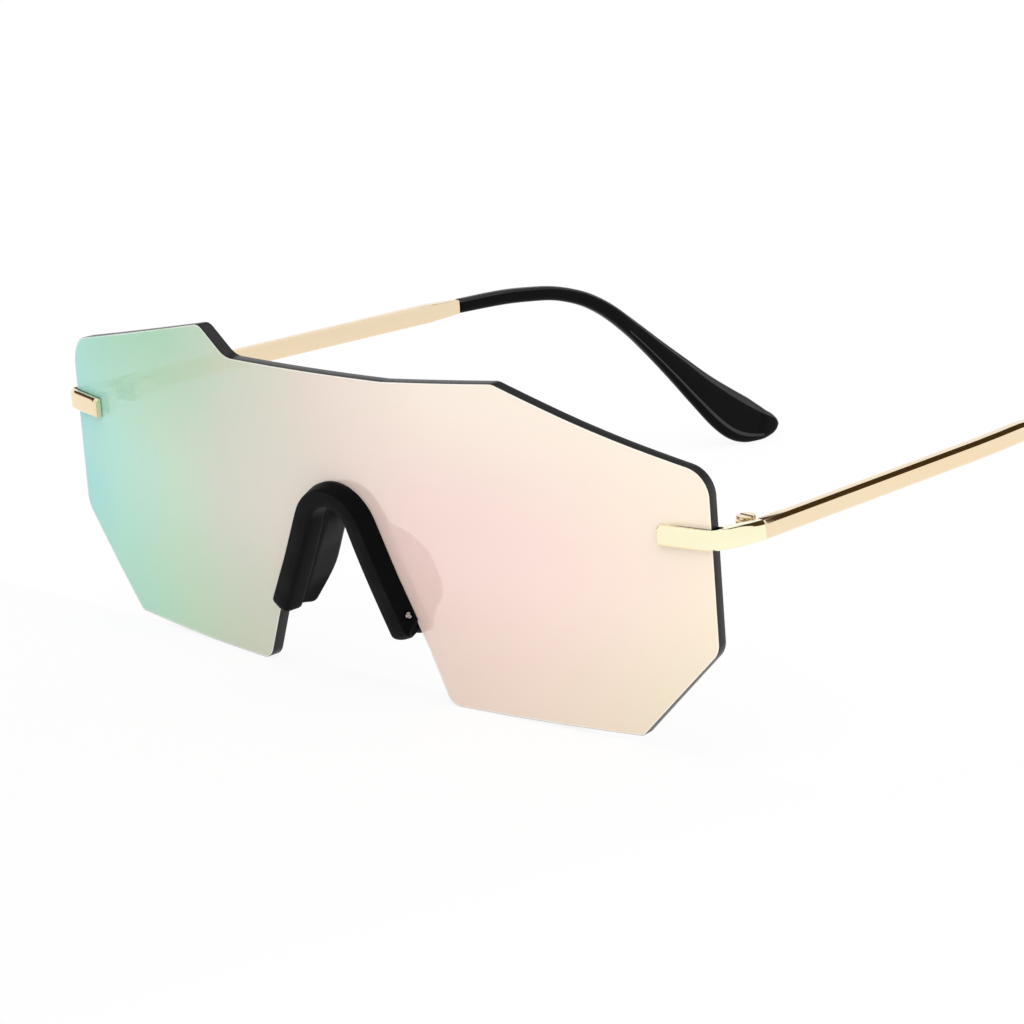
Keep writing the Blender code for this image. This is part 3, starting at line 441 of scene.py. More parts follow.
def round_corners(corners, steps):
    """Closed outline through corners (x, y, radius), each an arc of steps parts.

    An arc touches both sides at radius * tan(turn / 2) from its corner, or as far as they reach,
    and its points swing from one touching point to the other about its centre.
    """
    corners = np.asarray(corners, float)
    here, radius = corners[..., :2], corners[..., 2]
    before = np.roll(here, 1, -2) - here
    after = np.roll(here, -1, -2) - here
    before_length = np.linalg.norm(before, axis=-1)
    after_length = np.linalg.norm(after, axis=-1)
    before = before / before_length[..., None]
    after = after / after_length[..., None]
    turn = np.pi - np.arccos(np.clip((before * after).sum(-1), -1, 1))
    turn = np.maximum(turn, LEAST_TURN)
    longest = SIDE_REACH_SHARE * np.minimum(before_length, after_length)
    reach = np.minimum(radius * np.tan(turn / 2), longest)
    radius = reach / np.tan(turn / 2)
    middle = before + after
    middle = middle / np.maximum(np.linalg.norm(middle, axis=-1), TINY)[..., None]
    centre = here + middle * (radius / np.cos(turn / 2))[..., None]
    first = here + before * reach[..., None] - centre
    last = here + after * reach[..., None] - centre
    t = np.linspace(0, 1, steps + 1)
    swing = turn[..., None]
    one = (np.sin((1 - t) * swing) / np.sin(swing))[..., None]
    two = (np.sin(t * swing) / np.sin(swing))[..., None]
    points = centre[..., None, :] + one * first[..., None, :] + two * last[..., None, :]
    return points.reshape(*points.shape[:-3], -1, 2)


def by_station(corners, stations):
    """Corners (across, forward, radius), each value constant or by station, as a grid."""
    return np.stack([np.stack([np.broadcast_to(value, stations) for value in corner], -1)
                     for corner in corners], 1)


def corner_numbers(points, steps):
    """The corner that each point of a rounded outline belongs to, plus its way along the arc."""
    return np.arange(points) / (steps + 1)


def outward(outline):
    """Unit normals of a closed outline that runs anticlockwise, from each point's neighbours."""
    tangent = np.roll(outline, -1, 0) - np.roll(outline, 1, 0)
    tangent = tangent / np.linalg.norm(tangent, axis=-1, keepdims=True)
    return np.stack([tangent[:, 1], -tangent[:, 0]], -1)


def strip(rows, columns, wrap, first=0):
    """Quads between neighbouring rows of a grid of points; wrap joins its last column to its first."""
    index = first + np.arange(rows * columns).reshape(rows, columns)
    right = np.roll(index, -1, axis=1)
    quads = np.stack([index[:-1], right[:-1], right[1:], index[1:]], -1)
    if not wrap:
        quads = quads[:, :-1]
    return quads.reshape(-1, 4)


def tube(rings):
    """Points and faces of a closed skin over rings of points, with a pole at the middle of each end."""
    rows, columns = rings.shape[:2]
    poles = np.stack([rings[0].mean(0), rings[-1].mean(0)])
    points = np.concatenate([rings.reshape(-1, 3), poles])
    ring = np.arange(columns)
    ahead = np.roll(ring, -1)
    last = (rows - 1) * columns
    pole = rows * columns
    low = np.stack([ahead, ring, np.full(columns, pole)], -1)
    high = np.stack([last + ring, last + ahead, np.full(columns, pole + 1)], -1)
    return points, strip(rows, columns, True).tolist() + low.tolist() + high.tolist()


# Pieces

def add_object(name, data):
    added = bpy.data.objects.new(name, data)
    bpy.context.scene.collection.objects.link(added)
    return added


def new_mesh(name, points, faces):
    mesh = bpy.data.meshes.new(name)
    mesh.from_pydata(points.reshape(-1, 3).tolist(), [], faces)
    return mesh


def close_skin(mesh):
    """Merge a skin's doubled points and point its faces outwards."""
    shape = bmesh.new()
    shape.from_mesh(mesh)
    bmesh.ops.remove_doubles(shape, verts=shape.verts, dist=MERGE_REACH)
    bmesh.ops.recalc_face_normals(shape, faces=shape.faces)
    shape.to_mesh(mesh)
    shape.free()


def add_piece(name, points, faces, materials, body, node, sharp, marks=()):
    """One closed, outward-facing mesh that rides on a body and stands for a CAD node.

    Marks give the first faces their material's number, and the rest have the first material.
    """
    mesh = new_mesh(name, points, faces)
    marks = np.pad(np.asarray(marks, np.int32), (0, len(faces) - len(marks)))
    mesh.polygons.foreach_set("material_index", marks)
    close_skin(mesh)
    return finish_piece(name, mesh, materials, body, node, sharp)


def finish_piece(name, mesh, materials, body, node, sharp):
    for material in materials:
        mesh.materials.append(material)
    mesh.shade_smooth()
    mesh.set_sharp_from_angle(angle=math.radians(sharp))
    piece = add_object(name, mesh)
    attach(piece, body)
    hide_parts(node)
    return piece


def drill(piece, rings, sharp):
    """Cut the closed skin over rings of points out of a piece."""
    mesh = new_mesh("drill", *tube(rings))
    close_skin(mesh)
    tool = add_object("drill", mesh)
    bore = piece.modifiers.new("bore", "BOOLEAN")
    bore.operation = "DIFFERENCE"
    bore.solver = "EXACT"
    bore.object = tool
    bpy.context.view_layer.update()
    cut = bpy.data.meshes.new_from_object(piece.evaluated_get(bpy.context.evaluated_depsgraph_get()))
    piece.modifiers.remove(bore)
    piece.data = cut
    piece.data.name = piece.name
    piece.data.set_sharp_from_angle(angle=math.radians(sharp))
    bpy.data.objects.remove(tool, do_unlink=True)


# Lens space

def rolled(along, forward):
    """Plan of the upright cylinder: turned by along / radius about its axis, forward of its face."""
    lens = settings().shield_lens
    turn = np.asarray(along) / lens.radius
    reach = lens.radius + np.asarray(forward)
    return reach * np.sin(turn), lens.radius - reach * np.cos(turn)


def tipped(back, up, turn):
    """Back and up, turned about X from back towards up."""
    return (back * math.cos(turn) - up * math.sin(turn),
            back * math.sin(turn) + up * math.cos(turn))


def leaned(across, back, up):
    """A point of the upright model, tipped forward about X and set where the frame has it."""
    lean = settings().shield_lens.lean
    return np.stack(np.broadcast_arrays(across, *tipped(back, up, lean)), -1) + frame_shift()


def on_lens(along, up, forward):
    return leaned(*rolled(along, forward), up)


def clip_outer():
    return rolled(HALF_WIDTH, 0)[0] + FIT_GAP + CLIP_BAND


def clip_end():
    return rolled(HALF_WIDTH, 0)[1] + CLIP_REACH


def clip_fall(back):
    """How far the clip's strip lies below its level, by a slope about the lens's side edge."""
    return (back - rolled(HALF_WIDTH, 0)[1]) * math.tan(CLIP_FALL)


def hinge_of(side_name):
    """Place of a hinge, and how far its axis is tipped back from upright."""
    joint = next(one for one in frame["joints"] if one["name"].startswith(side_name))
    return np.array(joint["pos_m"]), math.asin(abs(joint["axis"][1]))


def frame_shift():
    """From the upright model's origin to the frame's, by where both have the left hinge."""
    across = clip_outer() - settings().shield_temple.thickness - FIT_GAP - KNUCKLE_RADIUS
    back = clip_end() - HINGE_AHEAD
    up = CLIP_LEVEL - clip_fall(back)
    return hinge_of("left")[0] - np.array([across, *tipped(back, up, settings().shield_lens.lean)])


def from_hinge(side_name, points):
    """Hinge space, Y back and Z up the axis, tipped back with the axis and set on the hinge."""
    place, rise = hinge_of(side_name)
    x, y, z = np.moveaxis(points, -1, 0)
    return np.stack([x, *tipped(y, z, rise)], -1) + place


# Lens

def apex_tangent():
    """Angle about the apex circle's centre at which the straight limb from the knee touches it."""
    run, rise = KNEE_OUT, KNEE_HEIGHT - APEX_HEIGHT + APEX_RADIUS
    return math.atan2(rise, run) + math.acos(APEX_RADIUS / math.hypot(run, rise))


def notch_limb(height):
    """The notch's left limb, the line from the knee to the apex circle: its point at a height,
    and its upper end."""
    tangent = apex_tangent()
    knee = np.array([KNEE_OUT, KNEE_HEIGHT])
    high = np.array([APEX_RADIUS * math.cos(tangent),
                     APEX_HEIGHT - APEX_RADIUS + APEX_RADIUS * math.sin(tangent)])
    return knee + (high - knee) * (height - KNEE_HEIGHT) / (high[1] - KNEE_HEIGHT), high


def lens_outline(inset, slant):
    """The cut outline drawn in by inset: sides moved inward, and arcs about the same centres.

    Slant moves the step sideways, because its cut isn't square to the sheet.
    """
    top = SIDE_FOOT + SIDE_HEIGHT
    peak = top + PEAK_RISE
    low_out = HALF_WIDTH - LEFT_SIDE_DRAW
    left_out, right_out = low_out - LEFT_SIDE_LEAN, HALF_WIDTH - RIGHT_SIDE_LEAN
    crossing = APEX_HEIGHT - APEX_RADIUS + APEX_RADIUS / math.sin(apex_tangent())
    corners = np.array([
        (NOTCH_FOOT_OUT, FOOT_LIFT, NOTCH_FOOT_ROUND),
        (CHIN_OUT + LEFT_CHIN_RUN, CHIN_RISE, CHIN_ROUND),
        (low_out, SIDE_FOOT, SIDE_ROUND), (left_out, top, LEFT_TOP_ROUND),
        ((left_out + LEFT_PEAK_OUT) / 2, (top + peak) / 2 - LEFT_BROW_SAG, LEFT_BROW_RADIUS),
        (LEFT_PEAK_OUT, peak, PEAK_ROUND), (BROW_OUT, peak - BROW_DROP, BROW_ROUND),
        (slant - (RIGHT_PEAK_OUT - STEP_RUN), peak - STEP_DROP, STEP_ROUND),
        (slant - RIGHT_PEAK_OUT, peak, PEAK_ROUND), (-right_out, top, RIGHT_TOP_ROUND),
        (-HALF_WIDTH, SIDE_FOOT, SIDE_ROUND), (-CHIN_OUT, CHIN_RISE, CHIN_ROUND),
        (-NOTCH_FOOT_OUT, FOOT_LIFT, NOTCH_FOOT_ROUND), (-KNEE_OUT, KNEE_HEIGHT, KNEE_ROUND),
        (0, crossing, APEX_RADIUS), (KNEE_OUT, KNEE_HEIGHT, KNEE_ROUND),
    ])
    ahead = np.roll(corners, -1, 0)[:, :2] - corners[:, :2]
    ahead = ahead / np.linalg.norm(ahead, axis=1, keepdims=True)
    behind = np.roll(ahead, 1, 0)
    bend = behind[:, 0] * ahead[:, 1] - behind[:, 1] * ahead[:, 0]
    corners[:, :2] += (ahead - behind) * (inset / bend)[:, None]
    corners[:, 2] -= np.sign(bend) * inset
    return round_corners(corners, LENS_ARC_STEPS)


def lens_edges(inset, slant):
    """The outline's upper and lower half, each from its right end to its left end."""
    outline = lens_outline(inset, slant)
    outline = np.roll(outline, -int(np.argmax(outline[:, 0])), 0)
    right = int(np.argmin(outline[:, 0]))
    return outline[:right + 1][::-1], np.concatenate([outline[right:], outline[:1]])


def lens_columns(inset):
    """Shared places along the lens, with the lower, upper and rear upper edge at each."""
    upper, lower = lens_edges(inset, 0.0)
    edges = lower, upper, lens_edges(inset, STEP_SLANT)[0]
    ends = lower[0, 0], lower[-1, 0]
    along = np.concatenate([np.linspace(*ends, LENS_COLUMNS), *(edge[:, 0] for edge in edges)])
    along = np.clip(np.unique(np.round(along, COLUMN_DIGITS)), *ends)
    return along, *(np.interp(along, *edge.T) for edge in edges)


def build_lens():
    """Front and rear faces ruled between the lower and upper edge, and a rim round both.

    The rim is a profile carried round the outline: the flat polished border, a quarter turn, the
    cut edge, a quarter turn and the same border behind.
    """
    lens = settings().shield_lens
    band, deep = lens.bevel, lens.thickness
    along, low, high, high_rear = lens_columns(band + RIM_SOFT)
    t = np.linspace(0, 1, LENS_ROWS)[:, None]
    heights = low + (high - low) * t
    front = on_lens(along, heights, 0.0)
    rear = on_lens(along, low + (high_rear - low) * t, -deep)
    loop = np.concatenate([np.stack([along, low], -1), np.stack([along, high], -1)[::-1][1:-1]])
    slant = np.concatenate([low * 0, (high_rear - high)[::-1][1:-1]])
    normal = outward(loop)
    quarter = np.linspace(0, math.pi / 2, RIM_STEPS + 1)
    out = np.concatenate([[0], band + RIM_SOFT * np.sin(quarter)])
    back = np.concatenate([[0], RIM_SOFT * (np.cos(quarter) - 1)])
    out = np.concatenate([out, out[::-1]])
    back = np.concatenate([back, -deep - back[::-1]])
    edge = loop[None] + normal[None] * out[:, None, None]
    edge[..., 1] -= slant * back[:, None] / deep
    rim = on_lens(edge[..., 0], edge[..., 1], back[:, None])
    rows, columns = heights.shape
    count = rows * columns
    faces = [strip(rows, columns, False), strip(rows, columns, False, count)[:, ::-1],
             strip(len(out), len(loop), True, 2 * count)]
    # The front border band takes the paler colour of a painted highlight.
    bands = np.array([HIGHLIGHT_BORDER_FACE] + [EDGE_FACE] * (2 * RIM_STEPS + 1) + [REAR_FACE])
    marks = np.concatenate([np.full(len(faces[0]), COAT_FACE), np.full(len(faces[1]), REAR_FACE),
                            np.repeat(bands, len(loop))])
    points = np.concatenate([front.reshape(-1, 3), rear.reshape(-1, 3), rim.reshape(-1, 3)])
    materials = [coat_material(), highlight_border_material(), edge_material(), rear_material()]
    piece = add_piece("mirrored_lens", points, np.concatenate(faces).tolist(), materials, "front",
                      "shield_lens", sharp=50, marks=marks)
    drill_lens(piece)


def drill_lens(piece):
    """Bore the two screw holes, square to the lens, under the clips."""
    deep = settings().shield_lens.thickness
    turn = circle(LENS_HOLE_SIDES)
    for side in SIDES.values():
        along = side * (HALF_WIDTH - LENS_HOLE_INSET) + LENS_HOLE_RADIUS * np.cos(turn)
        up = CLIP_LEVEL + LENS_HOLE_RADIUS * np.sin(turn)
        rings = [on_lens(along, up, forward) for forward in (deep, -2 * deep)]
        drill(piece, np.stack(rings), sharp=50)


# Bridge and saddle

def bridge_path(foot, end_round):
    """Stations from foot to foot: up the straight limb, round the apex circle, and down again.

    Gives place and inward direction at each, and how far the rounded ends draw the section in:
    the sine of an angle whose cosine falls with the way from the end.
    """
    low, high = notch_limb(foot)
    start = apex_tangent()
    reach = math.dist(low, high)
    swing = np.linspace(BRIDGE_END_SHARE, 1, BRIDGE_END_STEPS) * math.pi / 2
    runs = np.concatenate([end_round * (1 - np.cos(swing)),
                           np.linspace(end_round, reach, BRIDGE_LIMB_STEPS)[1:]])
    sizes = np.concatenate([np.sin(swing), np.ones(BRIDGE_LIMB_STEPS - 1)])
    limb = low + (high - low) * (runs / reach)[:, None]
    limb_in = np.broadcast_to([-math.cos(start), -math.sin(start)], limb.shape)
    turn = np.linspace(start, math.pi - start, BRIDGE_ARC_STEPS + 1)[1:-1]
    arc_in = -np.stack([np.cos(turn), np.sin(turn)], -1)
    arc = np.array([0, APEX_HEIGHT - APEX_RADIUS]) - arc_in * APEX_RADIUS
    flip = np.array([-1, 1])
    place = np.concatenate([limb, arc, limb[::-1] * flip])
    inward = np.concatenate([limb_in, arc_in, limb_in[::-1] * flip])
    size = np.concatenate([sizes, np.ones(len(arc)), sizes[::-1]])
    return place, inward, size


def carried(place, inward, size, section, rise=0.0):
    """Carry sections (inward, forward) along the stations, drawn in about their middles.

    Rise slides points up their limb, square to the inward direction.
    """
    middle = section.mean(-2, keepdims=True)
    section = middle + (section - middle) * size[:, None, None]
    spots = place[:, None] + inward[:, None] * section[..., :1]
    up = np.stack([inward[:, 1], -inward[:, 0]], -1) * -np.sign(inward[:, :1] + TINY)
    spots = spots + up[:, None] * np.broadcast_to(rise, section.shape[:2])[..., None]
    return on_lens(spots[..., 0], spots[..., 1], section[..., 1])


def tab_space(side, inward, along, forward):
    """Points at a foot of the notch: inward from its edge, along its limb, and forward."""
    tangent = apex_tangent()
    low = notch_limb(TAB_HEIGHT)[0]
    x = low[0] - inward * math.cos(tangent) - along * math.sin(tangent)
    up = low[1] - inward * math.sin(tangent) + along * math.cos(tangent)
    return on_lens(side * x, up, forward)


def build_bridge():
    """The front bar: a rounded section carried round the notch, narrower with the cube of height.

    Its flank and its inner wall are smoother than its grained crest, and painted a deeper black as
    shade. A pocket in each foot takes the head of the screw that holds the saddle's tab.
    """
    place, inward, size = bridge_path(BAR_FOOT_HEIGHT, BAR_END_ROUND)
    up = (place[:, 1] - BAR_FOOT_HEIGHT) / (APEX_HEIGHT - BAR_FOOT_HEIGHT)
    width = BAR_WIDTH * (1 - (1 - BAR_APEX_SHARE) * up**3)
    swell = BAR_SWELL * smoothstep(up, *BAR_SWELL_SHARES)
    corners = [(-BAR_LIP - swell, CONTACT_GAP, CRISP_ROUND),
               (-BAR_LIP - swell, BAR_LIP_TOP, BAR_LIP_ROUND)]
    corners += [(width * across - swell * (1 - across), BAR_DEPTH * out, radius)
                for across, out, radius in BAR_CREST]
    corners += [(width, -BAR_TUCK, BAR_TUCK_ROUND), (FIT_GAP, -BAR_TUCK, CRISP_ROUND),
                (FIT_GAP, CONTACT_GAP, CRISP_ROUND)]
    section = round_corners(by_station(corners, len(place)), BAR_CORNER_STEPS)
    lip = (1 - smoothstep(section[..., 0], *BAR_LIP_ACROSS)) * (
        1 - smoothstep(section[..., 1], *BAR_LIP_FORWARD))
    near_foot = smoothstep(BAR_FOOT_HEIGHT + BAR_LIP_HEIGHT - place[:, 1:], 0, BAR_LIP_FADE)
    points, faces = tube(carried(place, inward, size, section, BAR_LIP_RISE * lip * near_foot))
    corner = corner_numbers(section.shape[1], BAR_CORNER_STEPS)
    # Flank and inner wall: smoother nylon whose deeper black is painted shade.
    smooth = np.any([within(corner, *band) for band in BAR_SMOOTH_SHADED_BANDS], 0)
    piece = add_piece("bridge_bar", points, faces, [nylon_material(), smooth_shaded_nylon_material()], "front",
                      "front_bridge", sharp=40, marks=np.tile(smooth, len(place) - 1))
    turn = circle(SCREW_POCKET_SIDES)
    for side in SIDES.values():
        rings = [tab_space(side, inward, SCREW_POCKET * np.cos(turn),
                           SCREW_FORWARD + SCREW_POCKET * np.sin(turn))
                 for inward in (-BAR_DEPTH, SCREW_SEAT)]
        drill(piece, np.stack(rings), sharp=40)


def build_saddle():
    """The saddle: web, lip and pad wing, whose rear edge follows the table of shares.

    A straight tab in each foot reaches forward into the bar.
    """
    bridge = settings().shield_bridge
    deep = settings().shield_lens.thickness
    place, inward, size = bridge_path(SADDLE_FOOT_HEIGHT, SADDLE_END_ROUND)
    up = (place[:, 1] - SADDLE_FOOT_HEIGHT) / (APEX_HEIGHT - SADDLE_FOOT_HEIGHT)
    depth, inset = (smooth_table(PAD_SHARES, up) * [bridge.pad_depth, bridge.pad_inset]).T
    half = bridge.pad_thickness / 2
    lip_front = -(deep + CONTACT_GAP)
    lip_rear = -(deep + FIT_GAP + SADDLE_LIP_THICKNESS)
    web_front = -(BAR_TUCK + CONTACT_GAP)
    corners = [(FIT_GAP, web_front, CRISP_ROUND), (SADDLE_WEB, web_front, SLIGHT_ROUND),
               (SADDLE_WEB + SADDLE_WEB_FLARE, lip_front, SADDLE_WEB_ROUND)]
    corners += [(inset + half * across, half * ahead - depth, half * radius)
                for across, ahead, radius in PAD_EDGE_SHARES]
    corners += [(FIT_GAP, lip_rear, SADDLE_ROOT_ROUND), (-SADDLE_LIP, lip_rear, SLIGHT_ROUND),
                (-SADDLE_LIP, lip_front, CRISP_ROUND), (FIT_GAP, lip_front, CRISP_ROUND)]
    section = round_corners(by_station(corners, len(place)), SADDLE_CORNER_STEPS)
    points, faces = tube(carried(place, inward, size, section))
    square = np.array([(0, -0.5), (1, -0.5), (1, 0.5), (0, 0.5)])
    for side in SIDES.values():
        rings = [tab_space(side, TAB_INSET + TAB_THICKNESS * square[:, 0],
                           TAB_WIDTH * square[:, 1], forward)
                 for forward in (web_front - TAB_ROOT, TAB_REACH)]
        tab_points, tab_faces = tube(np.stack(rings))
        faces += [[corner + len(points) for corner in face] for face in tab_faces]
        points = np.concatenate([points, tab_points])
    add_piece("nose_pads", points, faces, [nylon_material()], "front",
              "nose_saddle", sharp=40)


# Clips

def plan_at(across, forward):
    """How far back a face lies at a place across: the cylinder's radius less its leg there."""
    radius = settings().shield_lens.radius
    return radius - math.sqrt((radius + forward)**2 - across**2)


def clip_outline():
    """The folded strip in plan, anticlockwise from its inner front end, for the left side."""
    deep = settings().shield_lens.thickness
    skin = FIT_GAP + CLIP_FRONT_THICKNESS
    behind = -(deep + CONTACT_GAP)
    rear_skin = -(deep + FIT_GAP + CLIP_REAR_THICKNESS)
    front = HALF_WIDTH - CLIP_FRONT_LENGTH
    rear = HALF_WIDTH - CLIP_REAR_LENGTH
    outer = clip_outer()
    band = outer - CLIP_BAND
    inner = outer - settings().shield_temple.thickness
    return [
        (*rolled(front, skin), CLIP_END_ROUND), (outer, plan_at(outer, skin), CLIP_ROUND),
        (outer, clip_end(), CLIP_ARM_ROUND), (inner, clip_end(), CLIP_ARM_ROUND),
        (inner, plan_at(inner, rear_skin), CLIP_INNER_ROUND),
        (*rolled(rear, rear_skin), CLIP_END_ROUND), (*rolled(rear, behind), CRISP_ROUND),
        (band, plan_at(band, behind), CLIP_BAND_ROUND),
        (band, plan_at(band, LEG_GAP), CLIP_BAND_ROUND),
        (*rolled(front, LEG_GAP), CRISP_ROUND),
    ]


def divided(outline, corner, step):
    """The outline and its corner numbers, with sides divided into parts no longer than step."""
    ahead = np.roll(outline, -1, 0)
    parts = np.ceil(np.linalg.norm(ahead - outline, axis=1) / step).astype(int)
    index = np.repeat(np.arange(len(outline)), parts)
    share_along = (np.arange(len(index)) - np.repeat(np.cumsum(parts) - parts, parts)) / parts[index]
    return outline[index] + (ahead - outline)[index] * share_along[:, None], corner[index]


def build_clip(side_name, side):
    """Rings of the plan outline up the strip, drawn in at its edges.

    The outer side, from the toe to the hinge, has a wide facet above and a narrower one below,
    like the temple. The other edges are softened by a quarter turn.
    """
    metal = settings().shield_metal
    outline = round_corners(clip_outline(), CLIP_CORNER_STEPS)
    corner = corner_numbers(len(outline), CLIP_CORNER_STEPS).astype(int)
    outline, corner = divided(outline, corner, CLIP_SIDE_STEP)
    normal = outward(outline)
    normal[corner == CLIP_ARM_END] = (1, 0)
    fold = clip_outline()[CLIP_FOLD][1]
    off_fold = smoothstep(outline[:, 1], *(fold + CLIP_FOLD_FADE))
    along_arm = smoothstep(outline[:, 1], *(clip_end() + CLIP_ARM_FADE))
    faceted = np.maximum(CLIP_FACET_SHARE * (1 - off_fold), along_arm)
    faceted = np.where(corner < CLIP_ARM_END, faceted, corner == CLIP_ARM_END)
    half = metal.clip_height / 2
    swing = np.linspace(0, math.pi / 2, CLIP_EDGE_POINTS)[:, None]
    flat = np.linspace(1, 0, CLIP_EDGE_POINTS)[:, None]
    drawn = (1 - np.sin(swing)) * (1 - faceted) + flat * faceted
    risen = (1 - np.cos(swing)) * (1 - faceted) + (1 - flat) * faceted
    low = CLIP_SOFT + (LOW_FACET - CLIP_SOFT) * faceted
    top = CLIP_SOFT + (TOP_FACET - CLIP_SOFT) * faceted
    insets = np.concatenate([drawn * low, drawn[::-1] * top]) + CLIP_HAIR
    lifts = np.concatenate([risen * low - half, half - risen[::-1] * top])
    plan = outline[None] - normal[None] * insets[..., None]
    up = CLIP_LEVEL + lifts - clip_fall(plan[..., 1])
    drop = smoothstep(plan[..., 1], fold + CLIP_DROP_START, clip_end())
    up = up - LEFT_TEMPLE_DROP * (side > 0) * drop
    rings = leaned(side * plan[..., 0], plan[..., 1], up)
    rows, columns = rings.shape[:2]
    caps = [list(range(columns))[::-1], list(range((rows - 1) * columns, rows * columns))]
    faces = strip(rows, columns, True).tolist() + caps
    # The left clip takes the lighter copy of the gold, a painted highlight.
    tint = metal.left_clip_lit_gold if side > 0 else metal.temple_gold
    add_piece("clip_" + side_name, rings, faces, [gold_material("clip gold", tint)], "front",
              side_name + "_end_clip", sharp=30)


# Small pieces that keep the frame's own shape

def soften(name, node, material, body, width):
    """A merged copy of a CAD node with its sharp edges broken by a narrow bevel."""
    mesh = frame["nodes"][node].data.copy()
    mesh.name = name
    mesh.materials.clear()
    shape = bmesh.new()
    shape.from_mesh(mesh)
    bmesh.ops.remove_doubles(shape, verts=shape.verts, dist=CAD_MERGE_REACH)
    bmesh.ops.dissolve_limit(shape, angle_limit=FLAT_ANGLE, verts=shape.verts, edges=shape.edges)
    shape.to_mesh(mesh)
    shape.free()
    piece = finish_piece(name, mesh, [material], body, node, sharp=30)
    edge = piece.modifiers.new("broken edge", "BEVEL")
    edge.width = width
    edge.segments = BROKEN_STEPS
    edge.limit_method = "ANGLE"
    edge.angle_limit = BROKEN_ANGLE
    edge.harden_normals = True


def build_hinge(side_name):
    """Both leaves and the screw of a hinge, in one gold."""
    gold = gold_material("hinge gold", settings().shield_metal.temple_gold)
    for name, node, body, width in (
            ("hinge_front_", "_hinge_front_leaf", "front", HINGE_EDGE),
            ("hinge_rear_", "_hinge_rear_leaf", side_name + "_temple", HINGE_EDGE),
            ("hinge_pin_", "_hinge_screw", "front", HINGE_SCREW_EDGE)):
        soften(name + side_name, side_name + node, gold, body, width)


def build_fasteners(side_name):
    """The screws of a lens hole and of a bridge foot, and the clear bushing in the hole."""
    gold = gold_material("screw gold", settings().shield_metal.temple_gold)
    for name, node, material, slot, width in (
            ("lens_screw_", "_lens_screw", gold, "polished_gold", LENS_SCREW_EDGE),
            ("bridge_screw_", "_bridge_screw", steel_material(), "steel", BRIDGE_SCREW_EDGE),
            ("bushing_", "_lens_bushing", bushing_material(), "clear_bushing", BUSHING_EDGE)):
        soften(name + side_name, side_name + node, material, "front", width)


# Temples

def temple_line(side):
    """Start and end of the gold bar's middle line in hinge space, as (across, back)."""
    temple = settings().shield_temple
    across = side * (FIT_GAP + KNUCKLE_RADIUS + temple.thickness / 2)
    start = np.array([across, HINGE_AHEAD + FIT_GAP])
    return start, start + [-side * temple.inset, temple.length]


def tip_line(side_name, side, shares):
    """Middle line of the tip and its upward direction: run by share, fall by the table.

    The whole fall brings its end down to the table from the height of the hinge.
    """
    place, rise = hinge_of(side_name)
    run = settings().shield_temple.tip_run
    end = temple_line(side)[1][1] + run
    drop = (place[2] + end * math.sin(rise)) / math.cos(rise) - TIP_END_LIFT
    fine = np.linspace(0, 1, TIP_FINE_POINTS)
    fall = smooth_table(TIP_SHARES, fine)[:, 0] * drop
    line = np.stack([shares * run, -np.interp(shares, fine, fall)], -1)
    slope = np.interp(shares, fine, -np.gradient(fall, fine * run))
    up = np.stack([-slope, np.ones_like(slope)], -1) / np.sqrt(1 + slope**2)[:, None]
    return line, up


def temple_section():
    """The bar's section: an octagon with wide outer and narrow inner chamfers, whose inner side
    is faintly crowned."""
    temple = settings().shield_temple
    a, b = temple.thickness / 2, temple.height / 2
    i = INNER_EDGE
    return round_corners([
        (a, b - TOP_FACET, TEMPLE_SOFT), (a - TOP_FACET, b, TEMPLE_SOFT), (i - a, b, TEMPLE_SOFT),
        (-a, b - i, TEMPLE_SOFT), (-a - INNER_CROWN, 0, INNER_CROWN_ROUND),
        (-a, i - b, TEMPLE_SOFT), (i - a, -b, TEMPLE_SOFT), (a - LOW_FACET, -b, TEMPLE_SOFT),
        (a, LOW_FACET - b, TEMPLE_SOFT),
    ], TEMPLE_CORNER_STEPS)


